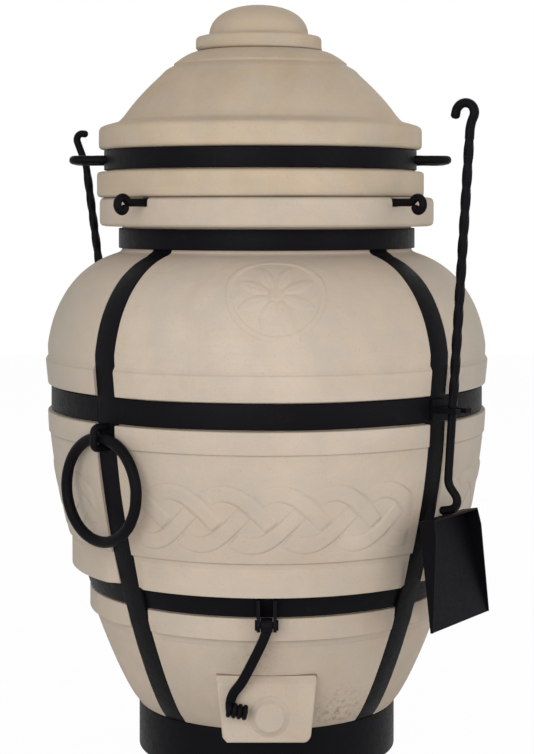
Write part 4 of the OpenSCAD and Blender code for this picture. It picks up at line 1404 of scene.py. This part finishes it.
class TANDOOR_OT_hearth_tools(bpy.types.Operator):
    """Forge the ash scoop and the poker, with twisted shafts, and dress their holders"""
    bl_idname = "tandoor.hearth_tools"
    bl_label = "Scoop and poker"

    def execute(self, context):
        iron = finish("forged iron")
        twist = twisted_tree()
        pitch = context.scene.tandoor_iron.twist
        # Piece, node and body; bearing and radius of the neck in its holder; the way the tool
        # faces and its neck's offset that way; height of the shoulder; lean; length of the
        # twisted shaft; radius of the hook's bar; the hook's bends; the neck's bends
        tools = (
            ("scoop_bar", "scoop_handle", "scoop", 47.2, 295.0, 56, 0.255, 444.65, 4, 316, 5.5,
             [("run", 6), ("bend", 40, -24), ("bend", 11.5, 102), ("bend", 12.5, 98),
              ("run", 4.5)],
             [("run", 82.85), ("bend", 18, 42), ("run", 9), ("bend", 11, -117), ("run", 11)]),
            ("poker_shape", "poker", "poker_bar", -133, 289.7, -113, 0.0, 445.04, 8.5, 286, 5.0,
             [("run", 4), ("bend", 30, -14), ("run", 33), ("bend", 8, 118), ("run", 5)],
             [("run", 190), ("bend", 12, 90), ("run", 20)]))
        for (name, node, body, bearing, reach, facing, offset, shoulder, lean, shaft, hook_r,
             hook, low) in tools:
            out = place(1, facing, 0) / MM
            root = place(reach, bearing, 0) / MM + out * offset + Vector((0, 0, shoulder))
            up = (Vector((0, 0, 1)) * math.cos(math.radians(lean))
                  + out * math.sin(math.radians(lean)))
            inward = (-out * math.cos(math.radians(lean))
                      + Vector((0, 0, 1)) * math.sin(math.radians(lean)))
            line = walk(hook, 1.8)
            top = root + up * shaft
            path = [top - up * 3] + [top + up * p.x + inward * p.y for p in line]
            parts = [round_bar("hook", path, hook_r, 22, False, 0.05)]
            line = walk(low, 1.8)
            down, away = (-up, -inward) if node == "scoop_handle" else (Vector((0, 0, -1)), out)
            path = [root + up * 2] + [root + down * p.x + away * p.y for p in line]
            parts.append(round_bar("stem", path, 5, 22, False, 0.04))
            parts.append(grown("shaft", twist, {
                "Start": tuple(root * MM), "End": tuple(top * MM), "Side": 0.010,
                "Pitch": pitch, "Corner": 0.0026}))
            finish_mesh(name, joined(node, parts), body, iron, (node,), 55)
        for node in ("scoop_holder", "poker_holder"):
            dress_node(node, "forged iron")
        dress_node("scoop_pan", "sheet iron")
        return {"FINISHED"}


class TANDOOR_OT_door_latch(bpy.types.Operator):
    """Forge the swinging latch with its eye and ribbed grip, and dress its pin and ears"""
    bl_idname = "tandoor.door_latch"
    bl_label = "Door latch"

    def execute(self, context):
        line = smooth_line([(0.5, -237.1, 193), (-5, -236.1, 179), (-16, -229.1, 155),
                            (-28, -218.2, 130), (-38, -212.0, 115), (-42, -210.0, 104),
                            (-42, -210.2, 94)], 7)
        bar = flat_bar("bar", line, 11.0, 8.6, 1.8, (0, -1, 0))
        section = rounded([(4.2, -7), (8.5, -7, 2), (8.5, 7, 2), (4.2, 7)], 0.8, 4)
        pin_y, pin_z, sides = -237.14, 199, 48
        rows = []
        for k in range(sides):
            a = 2 * math.pi * k / sides
            rows.append([Vector((x, pin_y + r * math.cos(a), pin_z + r * math.sin(a))) * MM
                         for r, x in section])
        eye = grid_mesh("eye", rows, True, True)
        grip = grown("grip", ribbed_tree(), {
            "Start": (-0.0436, -0.2153, 0.0964), "End": (-0.0252, -0.2153, 0.0932),
            "Ribs": context.scene.tandoor_iron.ribs, "Radius": 0.0089, "Rib": 0.0029})
        ends = round_bar("ends", [(-43.2, -215.3, 96.3), (-25.4, -215.3, 93.3)], 6.1, 28)
        finish_mesh("latch_bar", joined("door_latch", [bar, eye, grip, ends]), "latch",
                    finish("forged iron"), ("door_latch",), 50)
        for node in ("latch_pin", "latch_bracket"):
            dress_node(node, "forged iron")
        return {"FINISHED"}


class TANDOOR_OT_fire_grate(bpy.types.Operator):
    """Dress the cast fire grate inside the pot"""
    bl_idname = "tandoor.fire_grate"
    bl_label = "Fire grate"

    def execute(self, context):
        dress_node("fire_grate", "cast grate")
        return {"FINISHED"}


# ---------------------------------------------------------------- panel

PIECES = (TANDOOR_OT_stage, TANDOOR_OT_clay_pot, TANDOOR_OT_plait, TANDOOR_OT_rosette,
          TANDOOR_OT_ash_door, TANDOOR_OT_lid, TANDOOR_OT_iron_cage,
          TANDOOR_OT_carrying_rings, TANDOOR_OT_hanging_cross, TANDOOR_OT_hearth_tools,
          TANDOOR_OT_door_latch, TANDOOR_OT_fire_grate)


class TANDOOR_PT_panel(bpy.types.Panel):
    """Sizes, colours and pieces of the tandoor"""
    bl_label = "Clay tandoor"
    bl_idname = "TANDOOR_PT_panel"
    bl_space_type = "VIEW_3D"
    bl_region_type = "UI"
    bl_category = "Tandoor"

    def draw(self, context):
        for group in (context.scene.tandoor_clay, context.scene.tandoor_iron,
                      context.scene.tandoor_stage):
            box = self.layout.box()
            for name in group.__annotations__:
                box.prop(group, name)
        for piece in PIECES:
            self.layout.operator(piece.bl_idname)


SETTINGS = (("tandoor_clay", TandoorClay), ("tandoor_iron", TandoorIron),
            ("tandoor_stage", TandoorStage))


def register():
    """Adds the settings, the pieces and the panel to Blender."""
    for name, group in SETTINGS:
        bpy.utils.register_class(group)
        setattr(bpy.types.Scene, name, bpy.props.PointerProperty(type=group))
    for piece in PIECES:
        bpy.utils.register_class(piece)
    bpy.utils.register_class(TANDOOR_PT_panel)


def unregister():
    """Takes them out again."""
    bpy.utils.unregister_class(TANDOOR_PT_panel)
    for piece in reversed(PIECES):
        bpy.utils.unregister_class(piece)
    for name, group in reversed(SETTINGS):
        delattr(bpy.types.Scene, name)
        bpy.utils.unregister_class(group)


def main():
    """Builds the oven."""
    register()
    bpy.ops.tandoor.stage()
    bpy.ops.tandoor.clay_pot()
    bpy.ops.tandoor.plait()
    bpy.ops.tandoor.rosette()
    bpy.ops.tandoor.ash_door()
    bpy.ops.tandoor.lid()
    bpy.ops.tandoor.iron_cage()
    bpy.ops.tandoor.carrying_rings()
    bpy.ops.tandoor.hanging_cross()
    bpy.ops.tandoor.hearth_tools()
    bpy.ops.tandoor.door_latch()
    bpy.ops.tandoor.fire_grate()
    bpy.context.view_layer.update()


if __name__ == "__main__":
    main()
